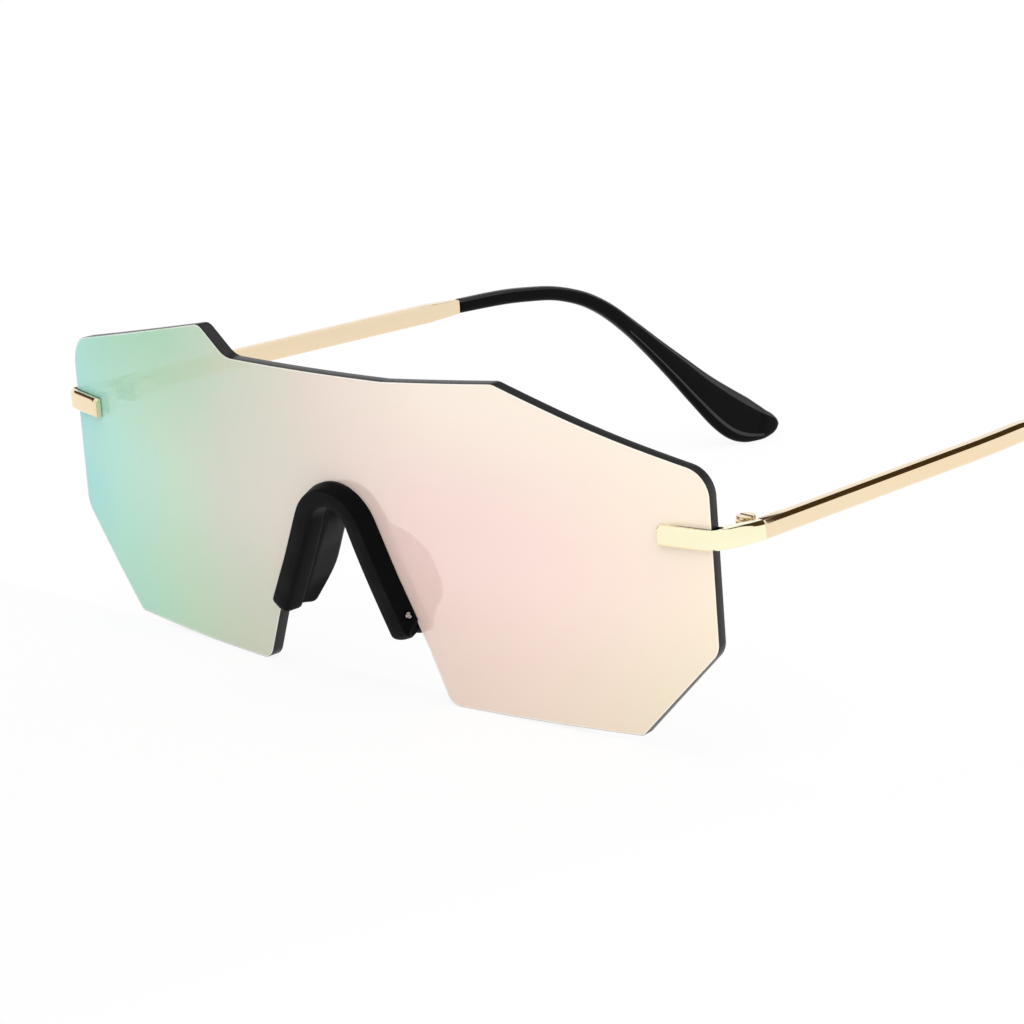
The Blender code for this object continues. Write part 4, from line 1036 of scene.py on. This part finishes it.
def build_bar(side_name, side):
    """Gold bar: its section carried along a slanted line and narrowed at its end, and its core
    wire, a circle carried along the tip's middle line inside the tip."""
    temple = settings().shield_temple
    section = temple_section()
    start, end = temple_line(side)
    ends = TEMPLE_START[:, 0] / temple.length
    taper = np.linspace(1 - TEMPLE_END_TAPER / temple.length, 1, TEMPLE_END_STEPS)
    shares = np.concatenate([ends, np.linspace(ends[-1], taper[0], TEMPLE_STEPS)[1:-1], taper])
    height = np.interp(shares, [taper[0], 1], [1, TEMPLE_END_HEIGHT / temple.height])
    soft = np.interp(shares, ends, TEMPLE_START[:, 1])
    place = start + (end - start) * shares[:, None]
    place[:len(ends)] += (start - end) * (TEMPLE_BACK_SHARE * FIT_GAP / temple.length)
    x = place[:, :1] + side * section[:, 0] * soft[:, None]
    drop = LEFT_TEMPLE_DROP * (side > 0) * (1 - smoothstep(shares, *TEMPLE_DROP_SHARES))
    z = section[:, 1] * (soft * height)[:, None] - drop[:, None]
    bar = np.stack([x, np.broadcast_to(place[:, 1:], x.shape), z], -1)
    around = np.arctan2(section[:, 1], section[:, 0])
    line, up = tip_line(side_name, side, np.linspace(0, WIRE_REACH / temple.tip_run, WIRE_STEPS))
    spots = line[:, None] + up[:, None] * (WIRE_RADIUS * np.sin(around))[None, :, None]
    wire_x = np.broadcast_to(end[0] + side * WIRE_RADIUS * np.cos(around), spots.shape[:2])
    wire = np.stack([wire_x, end[1] + FIT_GAP + spots[..., 0], spots[..., 1]], -1)
    root = wire[:1].copy()
    root[..., 1] = end[1]
    rings = np.concatenate([bar, root, wire])
    points, faces = tube(from_hinge(side_name, rings))
    inner = within(corner_numbers(len(section), TEMPLE_CORNER_STEPS), *TEMPLE_INNER_BAND)
    gold = settings().shield_metal.temple_gold
    add_piece("temple_bar_" + side_name, points, faces,
              [gold_material("temple gold", gold), gold_material("satin gold", gold, SATIN_ROUGH)],
              side_name + "_temple", side_name + "_temple_bar", sharp=25,
              marks=np.tile(inner, len(rings) - 1))


def build_tip(side_name, side):
    """Black tip: a squarish oval (a power of the sine and cosine) carried along the curved middle
    line, with a flat panel let into the inner face of the paddle, above a raised lower rim. A band
    along its top and the lower rim are a lighter grey, a painted highlight."""
    temple = settings().shield_temple
    shares = 1 - (1 - np.linspace(0, 1, TIP_STATIONS)) ** TIP_CROWDING
    table = smooth_table(TIP_SHARES, shares)
    height = temple.paddle * table[:, 1]
    thick = temple.tip_thickness * table[:, 2]
    turn = math.tau * (np.arange(TIP_SIDES) + 0.5) / TIP_SIDES
    level, out = (np.sign(wave) * np.abs(wave) ** (2 / TIP_SQUARENESS)
                  for wave in (np.sin(turn), np.cos(turn)))
    panel = window(shares, *PANEL_RUN_SHARES)[:, None] * window(level, *PANEL_LEVEL_SHARES)
    across = out * thick[:, None] / 2 + PANEL_DEPTH * panel * (out < 0)
    paddle = within(shares, *PADDLE_SHARES)[:, None]
    # Rims painted lighter as highlight: a band along the top, and the paddle's lower rim on its inner
    # face.
    rim = within(level, *TOP_HIGHLIGHT_RIM_SHARES) & (out < TOP_HIGHLIGHT_RIM_OUT_SHARE)
    rim = rim | (paddle & within(level, *LOW_HIGHLIGHT_RIM_SHARES) & (out < 0))
    line, up = tip_line(side_name, side, shares)
    end = temple_line(side)[1]
    spots = line[:, None] + up[:, None] * (level * height[:, None] / 2)[..., None]
    rings = np.stack([end[0] + side * across, end[1] + FIT_GAP + spots[..., 0], spots[..., 1]], -1)
    rings = from_hinge(side_name, rings)
    rings[..., 2] = np.maximum(rings[..., 2], 0)
    points, faces = tube(rings)
    add_piece("temple_tip_" + side_name, points, faces, [tip_material(), rim_highlight_material()],
              side_name + "_temple", side_name + "_temple_tip", sharp=60,
              marks=rim[:-1].ravel())


# Materials

def feed(tree, socket, value):
    """Link an input to an output socket, or set its value; a colour is opaque."""
    if isinstance(value, bpy.types.NodeSocket):
        tree.links.new(value, socket)
    elif socket.type == "RGBA":
        socket.default_value = (*value, 1.0)
    else:
        socket.default_value = value


def feed_node(tree, node, **values):
    """Feed a node's inputs by name, where an underscore stands for a space."""
    for key, value in values.items():
        feed(tree, node.inputs[key.replace("_", " ")], value)
    return node


def add_node(tree, kind, **values):
    return feed_node(tree, tree.nodes.new(kind), **values)


def maths(tree, operation, *values):
    node = tree.nodes.new("ShaderNodeMath")
    node.operation = operation
    for socket, value in zip(node.inputs, values):
        feed(tree, socket, value)
    return node.outputs[0]


def ranged(tree, value, low, high, to_low=0.0, to_high=1.0, ease="SMOOTHSTEP"):
    node = add_node(tree, "ShaderNodeMapRange", Value=value, From_Min=low, From_Max=high,
                    To_Min=to_low, To_Max=to_high)
    node.interpolation_type = ease
    return node.outputs["Result"]


def mixed(tree, factor, first, second, blend="MIX"):
    node = tree.nodes.new("ShaderNodeMix")
    node.data_type = "RGBA"
    node.blend_type = blend
    inputs = [socket for socket in node.inputs if socket.enabled]
    for socket, value in zip(inputs, (factor, first, second)):
        feed(tree, socket, value)
    return next(socket for socket in node.outputs if socket.enabled)


def toned(tint, factor):
    """A tint times one factor, or times a factor for each channel."""
    return tuple(np.multiply(tuple(tint), factor).tolist())


def new_group(name, inputs, outputs):
    """A shader group with named sockets (name, type), its given values and its output node."""
    group = bpy.data.node_groups.new(name, "ShaderNodeTree")
    for way, sockets in (("INPUT", inputs), ("OUTPUT", outputs)):
        for label, kind in sockets:
            group.interface.new_socket(label, in_out=way, socket_type="NodeSocket" + kind)
    return group, group.nodes.new("NodeGroupInput").outputs, group.nodes.new("NodeGroupOutput")


def add_group(tree, group, **values):
    node = tree.nodes.new("ShaderNodeGroup")
    node.node_tree = group
    return feed_node(tree, node, **values).outputs


def grain_group():
    """Shader group: fine grain and slow drift on given coordinates, as two masks about one half."""
    name = "surface grain"
    if name in bpy.data.node_groups:
        return bpy.data.node_groups[name]
    group, given, made = new_group(
        name, (("Vector", "Vector"), ("Fine Scale", "Float"), ("Slow Scale", "Float")),
        (("Fine", "Float"), ("Slow", "Float")))
    for mask, detail in (("Fine", 3.0), ("Slow", 2.0)):
        noise = add_node(group, "ShaderNodeTexNoise", Vector=given["Vector"],
                         Scale=given[mask + " Scale"], Detail=detail)
        feed(group, made.inputs[mask], noise.outputs["Fac"])
    return group


def add_grain(tree, place, fine, slow):
    masks = add_group(tree, grain_group(), Vector=place, Fine_Scale=fine, Slow_Scale=slow)
    return masks["Fine"], masks["Slow"]


def new_material(name):
    """A material with its tree, its Principled shader and Object coordinates."""
    material = bpy.data.materials.new(name)
    material.use_nodes = True
    tree = material.node_tree
    place = tree.nodes.new("ShaderNodeTexCoord").outputs["Object"]
    return material, tree, tree.nodes["Principled BSDF"], place


def from_behind(tree):
    return tree.nodes.new("ShaderNodeNewGeometry").outputs["Backfacing"]


def clear_from_inside(tree, shader):
    """A face of the rim doesn't show through the lens: it is opaque on its outer side alone."""
    feed_node(tree, shader, Alpha=ranged(tree, from_behind(tree), 0.0, 1.0, 1.0, 0.0))


def grained_material(name, dark, light, grain, drift, rough, bump=None, drift_reach=None,
                     stretch=None, **values):
    """Two tints mixed by a slow drift, with a roughness and a bump that follow a fine grain.

    Grain and drift are the scales of the noise, rough is the range of roughness, and bump gives
    its strength and depth. Other values go to the shader's inputs.
    """
    material, tree, shader, place = new_material(name)
    if stretch:
        place = add_node(tree, "ShaderNodeMapping", Vector=place, Scale=stretch).outputs["Vector"]
    fine, slow = add_grain(tree, place, grain, drift)
    factor = ranged(tree, slow, *drift_reach) if drift_reach else slow
    feed_node(tree, shader, Base_Color=mixed(tree, factor, dark, light),
              Roughness=ranged(tree, fine, *NOISE_REACH, *rough), **values)
    if bump:
        strength, depth = bump
        node = add_node(tree, "ShaderNodeBump", Strength=strength, Distance=depth, Height=fine)
        feed_node(tree, shader, Normal=node.outputs["Normal"])
    return material


def gold_material(name, tint, rough=POLISHED_ROUGH):
    """Light gold plating: faint slow drift of colour and hair-fine polishing marks."""
    return grained_material(name, tuple(tint), toned(tint, (1.0, 0.965, 0.90)), grain=5200.0,
                            drift=160.0, drift_reach=(0.35, 0.7), bump=(0.05, 0.00001),
                            rough=(rough, rough + GOLD_ROUGH_RANGE), stretch=(1.0, 0.06, 1.0),
                            Metallic=1.0)


def steel_material():
    steel = settings().shield_metal.steel
    return grained_material("screw steel", tuple(steel), toned(steel, 0.7), grain=9000.0,
                            drift=900.0, rough=(0.2, 0.36), bump=(0.15, 0.00001), Metallic=1.0)


def bushing_material():
    return grained_material("clear bushing", (0.82, 0.82, 0.80), (0.72, 0.72, 0.69), grain=4000.0,
                            drift=600.0, rough=(0.15, 0.3), Transmission_Weight=0.7)


def nylon_material():
    """Matte moulded nylon: fine grain that breaks the sheen, a little lighter where it is rubbed."""
    bridge = settings().shield_bridge
    return grained_material("matte nylon", tuple(bridge.colour), toned(bridge.colour, 1.9),
                            grain=7000.0, drift=260.0, drift_reach=(0.35, 0.75),
                            rough=(0.42, 0.58), bump=(bridge.grain, 0.00003),
                            Specular_IOR_Level=0.06)


def smooth_shaded_nylon_material():
    """The same nylon, smoother with hardly any sheen, in a deeper black that is painted shade."""
    # Painted shade: a quarter of the nylon's colour.
    dark = toned(settings().shield_bridge.colour, 0.25)
    return grained_material("smooth nylon", dark, toned(dark, 1.5), grain=7000.0, drift=260.0,
                            rough=(0.40, 0.52), bump=(0.1, 0.00002), Specular_IOR_Level=0.05)


def tip_material():
    """Glossy black with faint wiping marks in its gloss."""
    black = settings().shield_temple.black
    return grained_material("gloss tip", tuple(black), toned(black, 1.6), grain=1400.0,
                            drift=220.0, rough=(0.10, 0.17), bump=(0.06, 0.00002),
                            Specular_IOR_Level=0.05)


def rim_highlight_material():
    """The tip's rims: dark grey satin, lighter than the tip as a painted highlight."""
    return grained_material("rubbed rim", (0.020, 0.020, 0.021), (0.034, 0.034, 0.036),
                            grain=2400.0, drift=220.0, rough=(0.25, 0.36), bump=(0.06, 0.00002),
                            Specular_IOR_Level=0.2)


def edge_material():
    """Cut edge of the smoked sheet: satin charcoal with a faint grain."""
    edge = settings().shield_lens.edge
    material = grained_material("smoked edge", tuple(edge), toned(edge, 1.35), grain=5200.0,
                                drift=300.0, rough=(0.28, 0.42), bump=(0.08, 0.00002),
                                Specular_IOR_Level=0.22)
    tree = material.node_tree
    clear_from_inside(tree, tree.nodes["Principled BSDF"])
    return material


def through_mirror(seen):
    """The coat's own colour, given the colour seen with white showing through it."""
    clear = settings().shield_lens.see_through
    return np.clip((np.array(seen) - clear) / (1 - clear), 0, 1)


def ramped(tree, value, stops):
    """A run of tints: (place, colour) stops over a value, in rising order."""
    first, last = stops[0][0], stops[-1][0]
    spread = ranged(tree, value, first, last, ease="LINEAR")
    ramp = add_node(tree, "ShaderNodeValToRGB", Fac=spread)
    marks = ramp.color_ramp.elements
    for spot, _ in stops[1:-1]:
        marks.new((spot - first) / (last - first))
    for mark, (_, tint) in zip(marks, stops):
        mark.color = (*through_mirror(tint), 1.0)
    return ramp.outputs["Color"]


def tint_group():
    """Shader group: the coat's tints on given coordinates, across the lens and up it, and painted shade
    at its foot.
    """
    name = "coat tints"
    if name in bpy.data.node_groups:
        return bpy.data.node_groups[name]
    lens = settings().shield_lens
    group, given, made = new_group(name, (("Vector", "Vector"),), (("Color", "Color"),))
    axes = add_node(group, "ShaderNodeSeparateXYZ", Vector=given["Vector"]).outputs
    slow = add_grain(group, given["Vector"], *COAT_NOISE)[1]
    drift = ranged(group, slow, *NOISE_REACH, -TINT_DRIFT, TINT_DRIFT)
    across = maths(group, "ADD", axes["X"], drift)
    body = ramped(group, across, (
        (AQUA_END, lens.aqua), (MINT_SPOT, lens.mint), (CELADON_SPOT, lens.celadon),
        (SAGE_SPOT, lens.sage), (SHELL_SPOT, lens.shell), (BLUSH_SPOT, lens.blush),
        (ROSE_SPOT, lens.rose), (CREAM_END, lens.cream)))
    crown = ramped(group, across, (
        (AQUA_END, lens.aqua), (LEAF_SPOTS[0], lens.leaf), (LEAF_SPOTS[1], lens.leaf),
        (CROWN_SHELL_SPOT, lens.shell), (IVORY_SPOT, lens.ivory)))
    high = ranged(group, axes["Z"], *CROWN_HEIGHT, 0.0, CROWN_SHARE)
    # Painted shade along the bottom of the lens, fading out by the given height.
    low = ranged(group, axes["Z"], 0.0, FOOT_SHADE_HEIGHT, 1.0, 0.0)
    lit = mixed(group, high, body, crown)
    feed(group, made.inputs["Color"], mixed(group, low, lit, tuple(lens.foot), "MULTIPLY"))
    return group


def coat_material():
    """Mirror coat: a satin share keeps its tints, the rest is a true mirror; smoke from behind."""
    material, tree, shader, place = new_material("mirror coat")
    lens = settings().shield_lens
    fine = add_grain(tree, place, *COAT_NOISE)[0]
    tints = add_group(tree, tint_group(), Vector=place)["Color"]
    back = from_behind(tree)
    feed_node(tree, shader, Base_Color=mixed(tree, back, tints, tuple(lens.smoke)),
              Roughness=ranged(tree, fine, *COAT_NOISE_REACH, 0.06, 0.10), Metallic=lens.mirror,
              Specular_IOR_Level=0.2,
              Alpha=ranged(tree, back, 0.0, 1.0, 1 - lens.see_through, COAT_BEHIND_SHARE))
    return material


def highlight_border_material():
    """Front border: the coat's tints made paler, a painted highlight along every front edge."""
    material, tree, shader, place = new_material("polished border")
    fine, slow = add_grain(tree, place, 3000.0, 90.0)
    tints = add_group(tree, tint_group(), Vector=place)["Color"]
    # Painted highlight: the coat's tints are mixed towards near white.
    pale = ranged(tree, slow, *NOISE_REACH, 0.4, 0.6)
    feed_node(tree, shader, Base_Color=mixed(tree, pale, tints, (1.0, 1.0, 0.94)),
              Roughness=ranged(tree, fine, *NOISE_REACH, 0.08, 0.16),
              Metallic=settings().shield_lens.mirror)
    clear_from_inside(tree, shader)
    return material


def rear_material():
    """Rear face of the tinted sheet: thin smoke that lets the coat behind it show."""
    material, tree, shader, place = new_material("smoked rear")
    smoke = settings().shield_lens.smoke
    fine, slow = add_grain(tree, place, 2600.0, 40.0)
    feed_node(tree, shader, Base_Color=mixed(tree, slow, tuple(smoke), toned(smoke, 1.2)),
              Roughness=ranged(tree, fine, *COAT_NOISE_REACH, 0.05, 0.09),
              Alpha=ranged(tree, from_behind(tree), 0.0, 1.0, *REAR_SHARES))
    return material


# Stage

def sight_rays(tree):
    """Masks of the rays that see the stage directly, off gloss or through glass, and off gloss."""
    rays = tree.nodes.new("ShaderNodeLightPath").outputs
    direct = maths(tree, "MAXIMUM", rays["Is Camera Ray"], rays["Is Glossy Ray"])
    return maths(tree, "MAXIMUM", direct, rays["Is Transmission Ray"]), rays["Is Glossy Ray"]


def floor_material():
    """White table: most of its white is its own for sight rays, the rest is lit and takes shadow."""
    material = bpy.data.materials.new("white table")
    material.use_nodes = True
    tree = material.node_tree
    tree.nodes.remove(tree.nodes["Principled BSDF"])
    sight, _ = sight_rays(tree)
    tint = tuple(settings().shield_stage.floor)
    glow = add_node(tree, "ShaderNodeEmission", Color=tint,
                    Strength=maths(tree, "MULTIPLY", sight, FLOOR_GLOW))
    shade = mixed(tree, sight, toned(tint, FLOOR_BOUNCE), toned(tint, 1 - FLOOR_GLOW))
    lit = add_node(tree, "ShaderNodeBsdfDiffuse", Color=shade)
    both = tree.nodes.new("ShaderNodeAddShader")
    for socket, part in zip(both.inputs, (glow, lit)):
        feed(tree, socket, part.outputs[0])
    feed_node(tree, tree.nodes["Material Output"], Surface=both.outputs[0])
    return material


def set_world():
    """White room: plain for lighting, and for polished edges a dark card behind the table."""
    world = bpy.data.worlds.new("white room")
    world.use_nodes = True
    tree = world.node_tree
    place = tree.nodes.new("ShaderNodeTexCoord").outputs["Generated"]
    axes = add_node(tree, "ShaderNodeSeparateXYZ", Vector=place).outputs
    above = ranged(tree, axes["Z"], *CARD_FOOT)
    below = ranged(tree, axes["Z"], *CARD_TOP, 1.0, 0.0)
    away = maths(tree, "MULTIPLY_ADD", axes["X"], CARD_AWAY[0],
                 maths(tree, "MULTIPLY", axes["Y"], CARD_AWAY[1]))
    behind = ranged(tree, away, *CARD_EDGE)
    card = maths(tree, "MULTIPLY", maths(tree, "MULTIPLY", above, below), behind)
    sight, glossy = sight_rays(tree)
    shown = mixed(tree, maths(tree, "MULTIPLY", card, glossy), (1.0, 1.0, 1.0),
                  tuple(settings().shield_stage.dark))
    feed_node(tree, tree.nodes["Background"], Color=shown,
              Strength=ranged(tree, sight, 0.0, 1.0, SKY_LEVEL, 1.0))
    settings().world = world


def set_lamp():
    """One wide soft lamp, above and on the camera's side, that polished pieces don't show."""
    lamp = bpy.data.lights.new("soft lamp", "SUN")
    lamp.energy = SUN_LEVEL
    lamp.angle = SUN_SPREAD
    holder = add_object("soft lamp", lamp)
    holder.rotation_euler = Vector(LAMP_AIM).to_track_quat("-Z", "Y").to_euler()
    holder.visible_glossy = False


def set_camera():
    """The camera looks at its target from azimuth and elevation, turned about its own axis."""
    stage = settings().shield_stage
    a, e, roll = stage.azimuth, stage.elevation, stage.roll
    look = Vector((-math.sin(a) * math.cos(e), math.cos(a) * math.cos(e), -math.sin(e)))
    level = Vector((math.cos(a), math.sin(a), 0))
    steep = Vector((-math.sin(a) * math.sin(e), math.cos(a) * math.sin(e), math.cos(e)))
    right = level * math.cos(roll) - steep * math.sin(roll)
    up = level * math.sin(roll) + steep * math.cos(roll)
    camera = bpy.data.cameras.new("camera")
    camera.sensor_width = SENSOR_WIDTH
    camera.lens = stage.focal
    camera.clip_start = NEAR_CUT
    holder = add_object("camera", camera)
    place = Vector(stage.target) - look * stage.distance
    turn = Matrix((right, up, -look)).transposed().to_4x4()
    holder.matrix_world = Matrix.Translation(place) @ turn
    bpy.context.scene.camera = holder


def set_table():
    """A flat table with a shallow hollow behind the lens, so that a folded tip hangs free of it.

    The hollow's depth is a product of smooth steps in Y, behind the foot of the lens and again
    halfway back, and in the distance from the middle.
    """
    half = FLOOR_SPAN / 2
    across_points, front_points, rear_points = HOLLOW_POINTS
    across = np.concatenate([[-half], np.linspace(-HOLLOW_SIDE[1], HOLLOW_SIDE[1], across_points),
                             [half]])
    back = np.concatenate([[-half], np.linspace(*HOLLOW_FRONT, front_points),
                           np.linspace(HOLLOW_FRONT[1], HOLLOW_REAR[1], rear_points)[1:], [half]])
    x, y = np.meshgrid(across, back)
    hollow = window(y, HOLLOW_FRONT, HOLLOW_REAR) * (1 - smoothstep(np.abs(x), *HOLLOW_SIDE))
    mesh = new_mesh("table", np.stack([x, y, -HOLLOW_DEPTH * hollow], -1),
                    strip(*x.shape, False).tolist())
    mesh.shade_smooth()
    mesh.materials.append(floor_material())
    add_object("table", mesh)


# Operators and panel

class BuildLens(bpy.types.Operator):
    """Build the mirrored lens with its polished bevel and smoked edge"""
    bl_idname = "shield.build_lens"
    bl_label = "Mirrored Lens"

    def execute(self, context):
        build_lens()
        return {"FINISHED"}


class BuildBridge(bpy.types.Operator):
    """Build the front bar of the bridge"""
    bl_idname = "shield.build_bridge"
    bl_label = "Bridge Bar"

    def execute(self, context):
        build_bridge()
        return {"FINISHED"}


class BuildSaddle(bpy.types.Operator):
    """Build the saddle with both nose pads"""
    bl_idname = "shield.build_saddle"
    bl_label = "Nose Pads"

    def execute(self, context):
        build_saddle()
        return {"FINISHED"}


class BuildClips(bpy.types.Operator):
    """Build the gold clips on the side edges"""
    bl_idname = "shield.build_clips"
    bl_label = "End Clips"

    def execute(self, context):
        for side_name, side in SIDES.items():
            build_clip(side_name, side)
        return {"FINISHED"}


class BuildHinges(bpy.types.Operator):
    """Finish the hinge leaves and screws"""
    bl_idname = "shield.build_hinges"
    bl_label = "Hinges"

    def execute(self, context):
        for side_name in SIDES:
            build_hinge(side_name)
        return {"FINISHED"}


class BuildFasteners(bpy.types.Operator):
    """Finish the screws and bushings of the lens and bridge"""
    bl_idname = "shield.build_fasteners"
    bl_label = "Screws and Bushings"

    def execute(self, context):
        for side_name in SIDES:
            build_fasteners(side_name)
        return {"FINISHED"}


class BuildBars(bpy.types.Operator):
    """Build the gold temple bars"""
    bl_idname = "shield.build_bars"
    bl_label = "Temple Bars"

    def execute(self, context):
        for side_name, side in SIDES.items():
            build_bar(side_name, side)
        return {"FINISHED"}


class BuildTips(bpy.types.Operator):
    """Build the black temple tips"""
    bl_idname = "shield.build_tips"
    bl_label = "Temple Tips"

    def execute(self, context):
        for side_name, side in SIDES.items():
            build_tip(side_name, side)
        return {"FINISHED"}


class BuildStage(bpy.types.Operator):
    """Set the table, room, lamp and camera"""
    bl_idname = "shield.build_stage"
    bl_label = "Stage"

    def execute(self, context):
        set_table()
        set_world()
        set_lamp()
        set_camera()
        settings().view_settings.view_transform = "Standard"
        return {"FINISHED"}


BUILDERS = (BuildLens, BuildBridge, BuildSaddle, BuildClips, BuildHinges, BuildFasteners, BuildBars,
            BuildTips, BuildStage)
GROUPS = {"shield_lens": LensSettings, "shield_bridge": BridgeSettings, "shield_metal": MetalSettings,
          "shield_temple": TempleSettings, "shield_stage": StageSettings}


class ShieldPanel(bpy.types.Panel):
    """Lists the builders and the sizes and colours they use"""
    bl_idname = "VIEW3D_PT_shield"
    bl_label = "Shield Sunglasses"
    bl_space_type = "VIEW_3D"
    bl_region_type = "UI"
    bl_category = "Shield"

    def draw(self, context):
        for builder in BUILDERS:
            self.layout.operator(builder.bl_idname)
        for name, group in GROUPS.items():
            box = self.layout.box()
            for prop in group.__annotations__:
                box.prop(getattr(context.scene, name), prop)


def register():
    for one in (*GROUPS.values(), *BUILDERS, ShieldPanel):
        bpy.utils.register_class(one)
    for name, group in GROUPS.items():
        setattr(bpy.types.Scene, name, PointerProperty(type=group))


def unregister():
    for name in GROUPS:
        delattr(bpy.types.Scene, name)
    for one in (ShieldPanel, *BUILDERS[::-1], *GROUPS.values()):
        bpy.utils.unregister_class(one)


def main():
    register()
    for builder in BUILDERS:
        family, action = builder.bl_idname.split(".")
        getattr(getattr(bpy.ops, family), action)()


if __name__ == "__main__":
    main()
